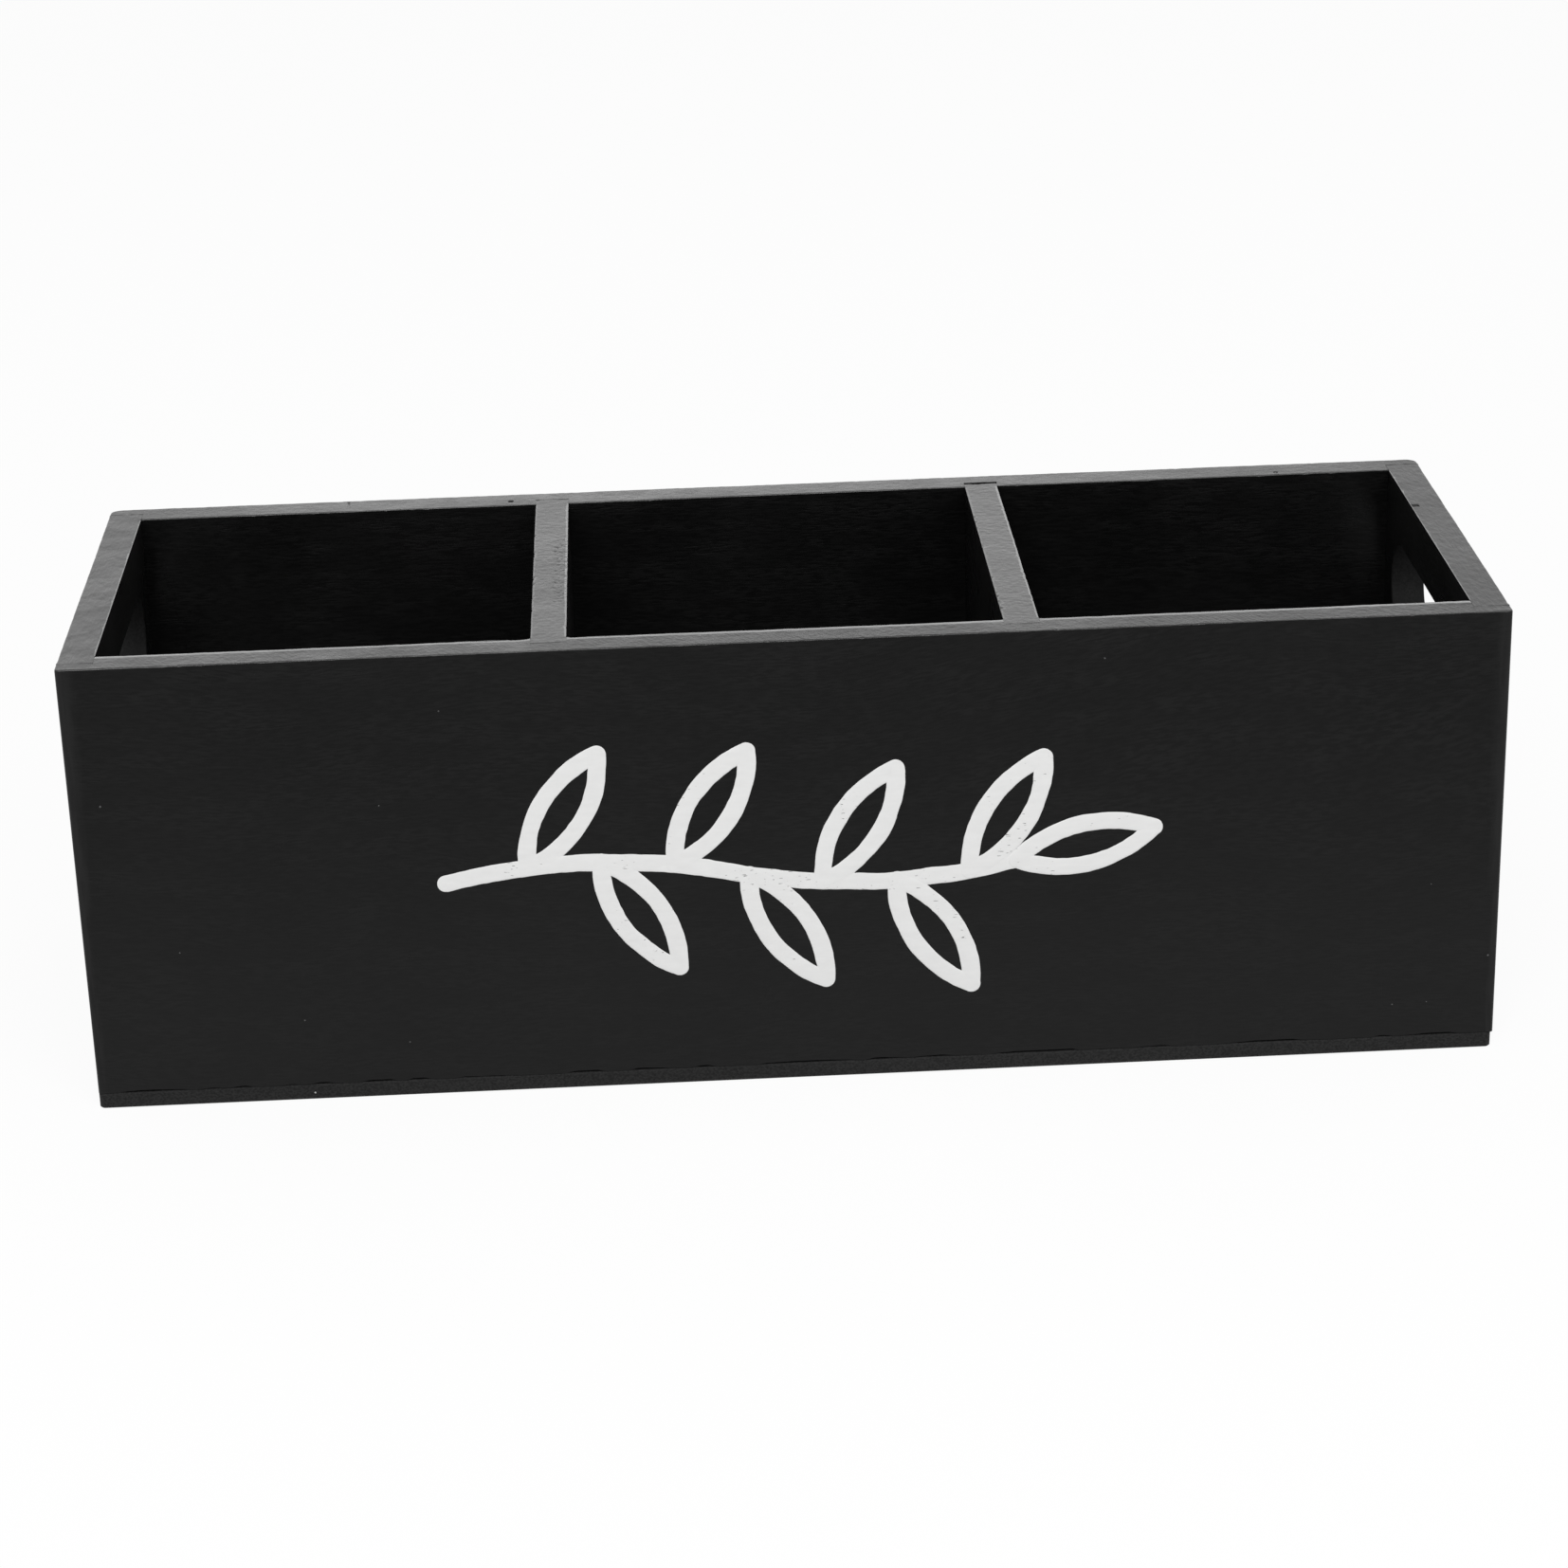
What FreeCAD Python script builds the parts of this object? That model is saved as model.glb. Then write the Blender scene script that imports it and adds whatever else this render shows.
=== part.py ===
# Remote control holder: an open wooden box with three compartments, painted black.
#
# Four walls are joined at the corners by rabbets, two dividers stand in grooves, and a thin base
# panel is planted under the walls. Brads hold the corners and the base.
#
# Millimetres. +X runs to the right along the box, +Y to the back and +Z up.
# The origin is at the middle of the underside.

import FreeCAD
import Part
import math
import os

Vector = FreeCAD.Vector

# Overall sizes
length = 300.0
depth = 103.4
wall_height = 96.8
wall_thickness = 7.5

# Base panel
base_thickness = 3.5
base_corner_radius = 1.2
base_right_setback = 0.4

# Compartments, as clear widths; the middle one takes what the walls and dividers leave
left_compartment_width = 89.5
right_compartment_width = 90.0

# Dividers, and the grooves in the front and back boards that they stand in
divider_thickness = 7.5
groove_depth = 2.8
groove_side_clearance = 0.1
divider_end_gap = 0.15
right_divider_back_gap = 1.0

# Corner rabbets: the lip that the front and back boards keep outside the end boards
rabbet_lip = 3.5
rabbet_end_gap = 0.1

# Hand slots in the end boards, from the rim down and from the middle towards the back
slot_length = 72.0
slot_height = 20.0
slot_drop = 12.8
left_slot_shift = -2.2
right_slot_shift = 0.5

# Edges: rounded along the rim, chamfered round the hand slots and along the base seam
rim_easing = 0.45
slot_chamfer = 0.5
seam_chamfer = 0.3
front_corner_radius = 0.8
back_corner_radius = 2.5

# Brads: flat wire with a T head and a chisel point
brad_length = 16.0
brad_width = 1.2
brad_wire = 1.0
brad_head_width = 1.9
brad_head_thickness = 0.6
brad_point = 1.5

# Where the brads go
corner_brad_sink = 0.6
corner_brad_count = 3
corner_brad_bottom_margin = 14.0
corner_brad_rim_margin = 11.0
base_brad_sink = 0.4
long_wall_brad_count = 5
long_wall_brad_margin = 22.0
end_wall_brad_count = 2
end_wall_brad_margin = 30.0
divider_brad_count = 2
divider_brad_margin = 26.0

# Painted leaf sprig on the front: one stem and alternate leaf loops, all in one line width
paint_thickness = 0.15
brush_width = 3.8
sprig_left = -73.1
sprig_right = 47.0
sprig_height = 49.0
stem_sway = 3.5
leaf_length = 29.5
leaf_half_width = 4.6
leaf_angle = 58.0
first_leaf_x = -56.0
leaf_spacing = 15.5
leaf_count = 7
end_leaf_angle = 12.0


# Places worked out from the sizes

rim = base_thickness + wall_height
half_length = length / 2
half_depth = depth / 2
inner_half_length = half_length - wall_thickness
inner_half_depth = half_depth - wall_thickness
end_board_half_span = half_depth - rabbet_lip - rabbet_end_gap
left_divider_x = -inner_half_length + left_compartment_width + divider_thickness / 2
right_divider_x = inner_half_length - right_compartment_width - divider_thickness / 2


# Small tools

def line(start, end):
    return Part.LineSegment(start, end).toShape()


def arc(start, middle, end):
    return Part.Arc(start, middle, end).toShape()


def closed_outline(points):
    """Closed wire of straight lines through the points."""
    pairs = zip(points, points[1:] + points[:1])
    return Part.Wire([line(start, end) for start, end in pairs])


def plate(wire, direction):
    """Solid from a flat closed wire, pushed along a direction."""
    return Part.Face(wire).extrude(direction)


def ease(solid, radius, chosen):
    """Round the edges whose bounding box the chosen test accepts."""
    return solid.makeFillet(radius, [edge for edge in solid.Edges if chosen(edge.BoundBox)])


def chamfer(solid, size, chosen):
    """Cut back the edges whose bounding box the chosen test accepts."""
    return solid.makeChamfer(size, [edge for edge in solid.Edges if chosen(edge.BoundBox)])


def flat_at(low, high, place):
    """True where a box is flat in one direction and lies at the given place."""
    return abs(low - place) < 1e-4 and abs(high - place) < 1e-4


# Front and back boards

def long_wall_outline(corner_radius):
    """Plan of a long wall: full length, rabbets at its ends and two grooves in its inner face.

    It is drawn with its outer face at y = 0 and its inner face at y = wall_thickness.
    """
    groove_half_width = divider_thickness / 2 + groove_side_clearance
    groove_bottom = wall_thickness - groove_depth
    corner_middle = corner_radius * (1 - math.sqrt(0.5))
    inner_points = [Vector(half_length, rabbet_lip, 0), Vector(inner_half_length, rabbet_lip, 0)]
    inner_points.append(Vector(inner_half_length, wall_thickness, 0))
    for divider_x in (right_divider_x, left_divider_x):
        inner_points.append(Vector(divider_x + groove_half_width, wall_thickness, 0))
        inner_points.append(Vector(divider_x + groove_half_width, groove_bottom, 0))
        inner_points.append(Vector(divider_x - groove_half_width, groove_bottom, 0))
        inner_points.append(Vector(divider_x - groove_half_width, wall_thickness, 0))
    inner_points.append(Vector(-inner_half_length, wall_thickness, 0))
    inner_points.append(Vector(-inner_half_length, rabbet_lip, 0))
    inner_points.append(Vector(-half_length, rabbet_lip, 0))

    left_upper = Vector(-half_length, corner_radius, 0)
    left_middle = Vector(-half_length + corner_middle, corner_middle, 0)
    left_lower = Vector(-half_length + corner_radius, 0, 0)
    right_lower = Vector(half_length - corner_radius, 0, 0)
    right_middle = Vector(half_length - corner_middle, corner_middle, 0)
    right_upper = Vector(half_length, corner_radius, 0)
    edges = [line(right_upper, inner_points[0])]
    edges += [line(start, end) for start, end in zip(inner_points, inner_points[1:])]
    edges.append(line(inner_points[-1], left_upper))
    edges.append(arc(left_upper, left_middle, left_lower))
    edges.append(line(left_lower, right_lower))
    edges.append(arc(right_lower, right_middle, right_upper))
    return Part.Wire(edges)


def long_wall(corner_radius):
    """A long wall standing on the base panel, with its outer face at y = 0."""
    wall = plate(long_wall_outline(corner_radius), Vector(0, 0, wall_height))
    wall.translate(Vector(0, 0, base_thickness))

    def outer(box):
        return box.YMin < rabbet_lip - 1e-4

    def rim_edge(box):
        inner = flat_at(box.YMin, box.YMax, wall_thickness)
        return flat_at(box.ZMin, box.ZMax, rim) and (outer(box) or inner)

    def seam_edge(box):
        return flat_at(box.ZMin, box.ZMax, base_thickness) and outer(box)

    wall = ease(wall, rim_easing, rim_edge)
    return chamfer(wall, seam_chamfer, seam_edge)


def make_front_board():
    board = long_wall(front_corner_radius)
    board.translate(Vector(0, -half_depth, 0))
    return board


def make_back_board():
    board = long_wall(back_corner_radius)
    board = board.mirror(Vector(0, 0, 0), Vector(0, 1, 0))
    board.translate(Vector(0, half_depth, 0))
    return board


# End boards

def slot_outline(x, middle_y, middle_z):
    """Stadium: two straight sides and two half circles, in the plane of an end board."""
    radius = slot_height / 2
    straight = slot_length / 2 - radius
    top_front = Vector(x, middle_y - straight, middle_z + radius)
    top_back = Vector(x, middle_y + straight, middle_z + radius)
    bottom_back = Vector(x, middle_y + straight, middle_z - radius)
    bottom_front = Vector(x, middle_y - straight, middle_z - radius)
    back_end = Vector(x, middle_y + slot_length / 2, middle_z)
    front_end = Vector(x, middle_y - slot_length / 2, middle_z)
    return Part.Wire([
        line(top_front, top_back),
        arc(top_back, back_end, bottom_back),
        line(bottom_back, bottom_front),
        arc(bottom_front, front_end, top_front),
    ])


def inner_arris_waste(side):
    """What sanding takes off an end board's inner rim arris between the long walls.

    It is a square bar less the round that stays.
    """
    inner_x = side * inner_half_length
    round_x = inner_x + side * rim_easing
    low = Vector(min(inner_x, round_x), -inner_half_depth, rim - rim_easing)
    bar = Part.makeBox(rim_easing, 2 * inner_half_depth, rim_easing, low)
    round_start = Vector(round_x, -inner_half_depth, rim - rim_easing)
    kept = Part.makeCylinder(rim_easing, 2 * inner_half_depth, round_start, Vector(0, 1, 0))
    return bar.cut(kept)


def make_end_board(side, shift):
    """End board with its hand slot; side is -1 on the left and 1 on the right."""
    outer_x = side * half_length
    inward = Vector(-side * wall_thickness, 0, 0)
    outline = closed_outline([
        Vector(outer_x, -end_board_half_span, base_thickness),
        Vector(outer_x, end_board_half_span, base_thickness),
        Vector(outer_x, end_board_half_span, rim),
        Vector(outer_x, -end_board_half_span, rim),
    ])
    board = plate(outline, inward)
    slot = plate(slot_outline(outer_x, shift, rim - slot_drop - slot_height / 2), inward)
    board = board.cut(slot)

    def outer_rim_edge(box):
        return flat_at(box.ZMin, box.ZMax, rim) and flat_at(box.XMin, box.XMax, outer_x)

    def slot_edge(box):
        inside = box.ZMin > base_thickness + 1e-4 and box.ZMax < rim - 1e-4
        return inside and box.XLength < 1e-4

    def seam_edge(box):
        return flat_at(box.ZMin, box.ZMax, base_thickness) and flat_at(box.XMin, box.XMax, outer_x)

    board = chamfer(board, slot_chamfer, slot_edge)
    board = ease(board, rim_easing, outer_rim_edge)
    board = board.cut(inner_arris_waste(side))
    return chamfer(board, seam_chamfer, seam_edge)


# Dividers

def make_divider(middle_x, back_gap):
    """Divider from groove to groove, on the base panel; back_gap is left behind its back end."""
    groove_bottom = inner_half_depth + groove_depth
    front_y = -groove_bottom + divider_end_gap
    back_y = groove_bottom - back_gap
    low = Vector(middle_x - divider_thickness / 2, front_y, base_thickness)
    board = Part.makeBox(divider_thickness, back_y - front_y, wall_height, low)

    def top_edge(box):
        return flat_at(box.ZMin, box.ZMax, rim) and box.YLength > divider_thickness

    return ease(board, rim_easing, top_edge)


# Base panel

def make_base_panel():
    """Panel under the walls, flush with their outer faces but a little short at the right."""
    panel_length = length - base_right_setback
    low = Vector(-half_length, -half_depth, 0)
    panel = Part.makeBox(panel_length, depth, base_thickness, low)

    def upright_edge(box):
        return box.ZLength > base_thickness / 2

    def flat_edge(box):
        return box.ZLength < 1e-4

    panel = ease(panel, base_corner_radius, upright_edge)
    return chamfer(panel, seam_chamfer, flat_edge)


# Brads

def brad_profile(head_extra=0.0):
    """Brad with its head at the origin and its point at -Z; head_extra lengthens the head."""
    half_head = brad_head_width / 2
    half_shank = brad_width / 2
    outline = closed_outline([
        Vector(-half_head, 0, head_extra),
        Vector(half_head, 0, head_extra),
        Vector(half_head, 0, -brad_head_thickness),
        Vector(half_shank, 0, -brad_head_thickness),
        Vector(half_shank, 0, -brad_length + brad_point),
        Vector(0, 0, -brad_length),
        Vector(-half_shank, 0, -brad_length + brad_point),
        Vector(-half_shank, 0, -brad_head_thickness),
        Vector(-half_head, 0, -brad_head_thickness),
    ])
    brad = plate(outline, Vector(0, brad_wire, 0))
    brad.translate(Vector(0, -brad_wire / 2, 0))
    return brad


def evenly(low, high, count):
    """Places from low to high, both included."""
    step = (high - low) / (count - 1)
    return [low + step * index for index in range(count)]


def corner_brad_places():
    """Head place and side for each brad through an end board into a long wall."""
    shoulder_middle = (rabbet_lip + wall_thickness) / 2
    lowest = base_thickness + corner_brad_bottom_margin
    highest = rim - corner_brad_rim_margin
    places = []
    for side in (-1, 1):
        head_x = side * (half_length - corner_brad_sink)
        for y in (-half_depth + shoulder_middle, half_depth - shoulder_middle):
            for z in evenly(lowest, highest, corner_brad_count):
                places.append((Vector(head_x, y, z), side))
    return places


def base_brad_places():
    """Plan place, and turn about +Z, for each brad up through the base panel."""
    places = []
    wall_middle = wall_thickness / 2
    long_reach = half_length - long_wall_brad_margin
    for y in (-half_depth + wall_middle, half_depth - wall_middle):
        for x in evenly(-long_reach, long_reach, long_wall_brad_count):
            places.append((x, y, 0))
    end_reach = half_depth - end_wall_brad_margin
    for x in (-half_length + wall_middle, half_length - wall_middle):
        for y in evenly(-end_reach, end_reach, end_wall_brad_count):
            places.append((x, y, 90))
    divider_reach = inner_half_depth - divider_brad_margin
    for x in (left_divider_x, right_divider_x):
        for y in evenly(-divider_reach, divider_reach, divider_brad_count):
            places.append((x, y, 90))
    return places


def make_corner_brads():
    brads = []
    for place, side in corner_brad_places():
        brad = brad_profile()
        brad.rotate(Vector(0, 0, 0), Vector(0, 1, 0), side * 90)
        brad.translate(place)
        brads.append(brad)
    return brads


def make_base_brads(head_extra=0.0):
    brads = []
    for x, y, turn in base_brad_places():
        brad = brad_profile(head_extra)
        brad.rotate(Vector(0, 0, 0), Vector(1, 0, 0), 180)
        brad.rotate(Vector(0, 0, 0), Vector(0, 0, 1), turn)
        brad.translate(Vector(x, y, base_brad_sink))
        brads.append(brad)
    return brads


def drilled(solid, brads):
    """The solid with the holes that the brads fill."""
    near = [brad for brad in brads if brad.BoundBox.intersect(solid.BoundBox)]
    if not near:
        return solid
    return solid.cut(Part.makeCompound(near))


# Painted sprig

def stroke(wire):
    """Film of paint left by a round brush drawn along an open wire."""
    covered = wire.makeOffset2D(brush_width / 2, 0, True, False)
    return covered.extrude(Vector(0, -paint_thickness, 0))


def loop_stroke(wire):
    """Film of paint left by the brush drawn round a closed wire, open in the middle."""
    outer = plate(wire.makeOffset2D(brush_width / 2, 0, False, False), Vector(0, -paint_thickness, 0))
    inner = plate(wire.makeOffset2D(-brush_width / 2, 0, False, False), Vector(0, -paint_thickness, 0))
    return outer.cut(inner)


def stem_height(x):
    """Height of the stem at x: two shallow waves, one up and one down."""
    share = (x - sprig_left) / (sprig_right - sprig_left)
    return sprig_height + stem_sway * math.sin(2 * math.pi * share)


def stem_point(x):
    return Vector(x, 0, stem_height(x))


def stem_wire():
    """Two arcs through the crest and the trough of the stem's wave."""
    xs = evenly(sprig_left, sprig_right, 5)
    points = [stem_point(x) for x in xs]
    return Part.Wire([arc(points[0], points[1], points[2]), arc(points[2], points[3], points[4])])


def leaf_wire(base, angle):
    """Almond outline of a leaf from its base, at an angle in degrees above +X."""
    turn = math.radians(angle)
    along = Vector(math.cos(turn), 0, math.sin(turn))
    across = Vector(-math.sin(turn), 0, math.cos(turn))
    tip = base + along * leaf_length
    middle = base + along * (leaf_length / 2)
    upper = middle + across * leaf_half_width
    lower = middle - across * leaf_half_width
    return Part.Wire([arc(base, upper, tip), arc(tip, lower, base)])


def make_painted_sprig():
    """Thin film of paint on the front face: stem, alternate leaves and an end leaf."""
    leaves = []
    for index in range(leaf_count):
        side = 1 if index % 2 == 0 else -1
        base = stem_point(first_leaf_x + index * leaf_spacing)
        leaves.append(loop_stroke(leaf_wire(base, side * leaf_angle)))
    leaves.append(loop_stroke(leaf_wire(stem_point(sprig_right), end_leaf_angle)))
    film = stroke(stem_wire()).multiFuse(leaves).removeSplitter()
    film.translate(Vector(0, -half_depth, 0))
    return film


# Build and write every piece

def build_pieces():
    corner_brads = make_corner_brads()
    base_brads = make_base_brads()
    base_brad_holes = make_base_brads(base_brad_sink)
    holes = corner_brads + base_brad_holes
    wood = {
        "front_board": make_front_board(),
        "back_board": make_back_board(),
        "left_end_board": make_end_board(-1, left_slot_shift),
        "right_end_board": make_end_board(1, right_slot_shift),
        "left_divider": make_divider(left_divider_x, divider_end_gap),
        "right_divider": make_divider(right_divider_x, right_divider_back_gap),
        "base_panel": make_base_panel(),
    }
    pieces = {name: drilled(solid, holes) for name, solid in wood.items()}
    pieces["corner_brads"] = Part.makeCompound(corner_brads)
    pieces["base_brads"] = Part.makeCompound(base_brads)
    pieces["painted_sprig"] = make_painted_sprig()
    return pieces


def main():
    os.makedirs("parts", exist_ok=True)
    for name, shape in build_pieces().items():
        shape.exportStep("parts/" + name + ".step")
        box = shape.BoundBox
        sizes = (box.XLength, box.YLength, box.ZLength)
        print(name, "solids", len(shape.Solids), "valid", shape.isValid(),
              "volume", round(shape.Volume), "size", [round(size, 2) for size in sizes])


main()
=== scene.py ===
# %% [markdown]
# A remote control holder
#
# The object is an open wooden box, 300 mm long, painted satin black, with two dividers, a hand slot
# in each end and a white leaf sprig on the front. A CAD model holds its construction. This lesson
# loads that model as a fixed frame, gives every board a sanded and slightly uneven skin, builds the
# paints as node materials, and sets up a pale floor, lamps and a camera to photograph the result.

import math

import bpy
import numpy as np
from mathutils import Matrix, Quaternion, Vector


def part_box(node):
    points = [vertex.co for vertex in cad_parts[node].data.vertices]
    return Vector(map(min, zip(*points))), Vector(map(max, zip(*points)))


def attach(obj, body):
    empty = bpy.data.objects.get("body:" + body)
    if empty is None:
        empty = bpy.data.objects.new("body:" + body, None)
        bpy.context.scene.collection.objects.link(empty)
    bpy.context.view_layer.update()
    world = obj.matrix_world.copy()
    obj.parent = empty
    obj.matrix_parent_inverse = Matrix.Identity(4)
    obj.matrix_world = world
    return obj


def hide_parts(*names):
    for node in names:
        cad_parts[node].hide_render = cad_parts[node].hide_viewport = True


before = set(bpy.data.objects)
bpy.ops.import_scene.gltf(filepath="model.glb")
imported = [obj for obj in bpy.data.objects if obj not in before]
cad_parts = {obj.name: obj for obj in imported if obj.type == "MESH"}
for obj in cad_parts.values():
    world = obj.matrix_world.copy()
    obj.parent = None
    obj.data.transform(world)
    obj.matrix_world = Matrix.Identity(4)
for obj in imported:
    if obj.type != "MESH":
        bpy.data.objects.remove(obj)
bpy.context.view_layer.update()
print("nodes:", ", ".join(sorted(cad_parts)))

# %% [markdown]
# Places
#
# Every board has to stay where the CAD model has it, so its faces are read from the frame and not
# typed in again. Shapes are worked out in millimetres, because 0.45 is easier to judge than
# 0.00045, and one function turns them into metres when the mesh is made.

# %% Read the boards' faces from the frame
def box_mm(node):
    """Lowest and highest corner of a CAD node, in millimetres."""
    low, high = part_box(node)
    return np.array(low) * 1000, np.array(high) * 1000


front_low, front_high = box_mm("front_board")
back_low, back_high = box_mm("back_board")
right_low, right_high = box_mm("right_end_board")

half_length = front_high[0]
half_depth = back_high[1]
seam = front_low[2]
rim = front_high[2]
inner_x = right_low[0]
inner_y = back_low[1]
end_board_y = right_high[1]
print("board thickness:", round(half_length - inner_x, 2), "rim height:", round(rim, 2))

# %% [markdown]
# Noise
#
# Sanded edges, sprayed paint and brush strokes are never quite even. Blender has noise textures for
# that, but they live in materials. A mesh needs its own, so this helper makes smooth random values
# with numpy: a lattice of random numbers, blended by a curve that is flat at both ends. The seed
# fixes the numbers, so each run gives the same box.

# %% Smooth random values
LATTICE = 331


def smooth_noise(u, v, cell_u, cell_v, seed):
    """Values from -1 to 1 that drift over cells of the given size.

    Random values stand at the corners of a lattice. Inside a cell they are blended with the weight
    3t^2 - 2t^3, first along u and then along v.
    """
    lattice = np.random.default_rng(seed).uniform(-1, 1, (LATTICE, LATTICE))
    u, v = np.broadcast_arrays(np.asarray(u, float) / cell_u, np.asarray(v, float) / cell_v)
    column = np.floor(u).astype(int)
    row = np.floor(v).astype(int)
    s = u - column
    t = v - row
    s = s * s * (3 - 2 * s)
    t = t * t * (3 - 2 * t)
    near = lattice[column % LATTICE, row % LATTICE] * (1 - s)
    near += lattice[(column + 1) % LATTICE, row % LATTICE] * s
    far = lattice[column % LATTICE, (row + 1) % LATTICE] * (1 - s)
    far += lattice[(column + 1) % LATTICE, (row + 1) % LATTICE] * s
    return near * (1 - t) + far * t


def smooth_step(value, low, high):
    """0 below low, 1 above high, and 3t^2 - 2t^3 in between."""
    t = np.clip((value - low) / (high - low), 0, 1)
    return t * t * (3 - 2 * t)


sample = smooth_noise(np.arange(300.0), 0.0, 5, 5, seed=1)
print("noise from", round(sample.min(), 2), "to", round(sample.max(), 2))

# %% [markdown]
# From arrays to a mesh
#
# Each board is a loft: rings of points, all with the same number, set one behind the other. Quads
# join neighbours on neighbouring rings. The two open ends are closed by a ladder of quads, whose
# rungs join a point on one side of the ring to its partner on the other, so there is no fan of thin
# triangles. Which way the faces look is settled by one number, the signed volume.

# %% Faces of a loft
def tube_faces(rings, around, closed=False):
    """Quads between point j and j + 1 of ring i and ring i + 1; a closed tube returns to ring 0."""
    spans = rings if closed else rings - 1
    i, j = np.meshgrid(np.arange(spans), np.arange(around), indexing="ij")
    next_i = (i + 1) % rings
    next_j = (j + 1) % around
    corners = [i * around + j, next_i * around + j, next_i * around + next_j, i * around + next_j]
    return np.stack(corners, axis=-1).reshape(-1, 4)


def ladder_caps(rings, around):
    """Quads across both end rings; point j is the partner of point around - 1 - j."""
    j = np.arange(around // 2 - 1)
    start = np.stack([j, j + 1, around - 2 - j, around - 1 - j], axis=-1)
    end = start[:, ::-1] + (rings - 1) * around
    return np.concatenate([start, end])


def signed_volume(points, faces):
    """Sum over the faces' triangles of a . (b x c) / 6, which is positive when they face outwards."""
    a, b, c, d = (points[faces[:, corner]] for corner in range(4))
    first = np.einsum("ij,ij->i", a, np.cross(b, c))
    second = np.einsum("ij,ij->i", a, np.cross(c, d))
    return (first.sum() + second.sum()) / 6


print("faces of a tube of 3 rings with 4 points each:", len(tube_faces(3, 4)))

# %% From points and faces to a piece of the box
def make_piece(name, points, faces, materials, face_material=None, sharp_degrees=35):
    """Smooth-shaded mesh from points in millimetres, facing outwards and riding on the box."""
    volume = signed_volume(points, faces)
    if volume < 0:
        faces = faces[:, ::-1]
    mesh = bpy.data.meshes.new(name)
    mesh.from_pydata((points * 0.001).tolist(), [], faces.tolist())
    for material in materials:
        mesh.materials.append(material)
    if face_material is not None:
        mesh.polygons.foreach_set("material_index", np.asarray(face_material, np.int32))
    mesh.polygons.foreach_set("use_smooth", np.ones(len(faces), bool))
    mesh.set_sharp_from_angle(angle=math.radians(sharp_degrees))
    mesh.update()
    piece = bpy.data.objects.new(name, mesh)
    bpy.context.scene.collection.objects.link(piece)
    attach(piece, "root")
    print(name, len(faces), "faces,", round(abs(volume) / 1000, 2), "cm3")
    return piece

# %% [markdown]
# Building a material from nodes
#
# A material is a small graph. Written out in full, each node takes four or five lines, which hides
# what the paint is made of. This helper adds a node, sets its switches and fills its inputs, either
# with a number or with another node's output, so that one call reads as one step of the recipe.

# %% Add a node, start a material
def add_node(material, kind, inputs=None, **switches):
    """Node of one kind; inputs maps a socket's name or number to a value or to another socket."""
    made = material.node_tree.nodes.new(kind)
    for key, value in switches.items():
        setattr(made, key, value)
    for key, value in (inputs or {}).items():
        if isinstance(value, bpy.types.NodeSocket):
            material.node_tree.links.new(value, made.inputs[key])
        else:
            made.inputs[key].default_value = value
    return made


def new_material(name):
    """Empty node material with an output node."""
    material = bpy.data.materials.new(name)
    material.use_nodes = True
    material.node_tree.nodes.clear()
    output = add_node(material, "ShaderNodeOutputMaterial")
    return material, output

# %% Places, noise, arithmetic and greys
def object_place(material):
    """The point's place in metres, which stays with the mesh when a texture is stretched over it."""
    return add_node(material, "ShaderNodeTexCoord").outputs["Object"]


def stretched(material, place, scale):
    """The place multiplied by a scale for each axis, in cells per metre."""
    return add_node(material, "ShaderNodeMapping", {"Vector": place, "Scale": scale}).outputs["Vector"]


def noise(material, vector, detail=2.0, roughness=0.5):
    """Noise from 0 to 1 with cells of size 1 in the vector's own units."""
    inputs = {"Vector": vector, "Scale": 1.0, "Detail": detail, "Roughness": roughness}
    return add_node(material, "ShaderNodeTexNoise", inputs).outputs["Fac"]


def math_node(material, operation, *values):
    """One step of arithmetic on numbers or sockets."""
    return add_node(material, "ShaderNodeMath", dict(enumerate(values)), operation=operation).outputs[0]


def remap(material, value, low, high, to_low=0.0, to_high=1.0):
    """Values from low to high spread smoothly from to_low to to_high, and held beyond them."""
    inputs = {"Value": value, "From Min": low, "From Max": high, "To Min": to_low, "To Max": to_high}
    return add_node(material, "ShaderNodeMapRange", inputs, interpolation_type="SMOOTHSTEP").outputs[0]


def blend_colour(material, factor, first, second):
    """Colour between two greys or colours, by a factor from 0 to 1."""
    inputs = {"Factor": factor, 6: first, 7: second}
    return add_node(material, "ShaderNodeMix", inputs, data_type="RGBA").outputs[2]


def grey(level):
    """Colour with the same linear level in red, green and blue."""
    return (level, level, level, 1.0)


print("a paint that gives back a hundredth of the light:", grey(0.01))

# %% [markdown]
# Satin black paint over open-pored wood
#
# On the real box a thin black spray coat lies over wood with open pores. From near by one sees fine
# dashes along the grain, in patches, and the slight pebbling of sprayed paint. An image texture
# would need a photograph and a UV map. Noise on object coordinates needs neither, runs on round the
# corners, and is right at any distance. The grain is noise stretched seven times along the board, a
# second noise picks the patches where it shows, and a third makes the pebbling. On the front board
# the grain lines climb in one band near the top, as they do where a plank is cut through the
# heart's edge of the tree, so the height is bent there before the noise reads it. Towards the foot
# of the walls and along the upright edges the paint is painted a little paler. This is painted
# light: the floor's bounce light at the foot, and a glow of the white background round the edges.

# %% Grain that climbs in a band
CLIMB_START_X = -0.010
CLIMB_END_X = 0.112
CLIMB_HEIGHT = 0.0135
CLIMB_BAND_FOOT = 0.045
CLIMB_BAND_TOP = 0.090
GRAIN_WANDER = 0.002


def grain_scale(axis, along, across):
    """Cells per metre for each axis, with the long cells lying along the grain's axis."""
    return tuple(along if letter == axis else across for letter in "XYZ")


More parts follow.
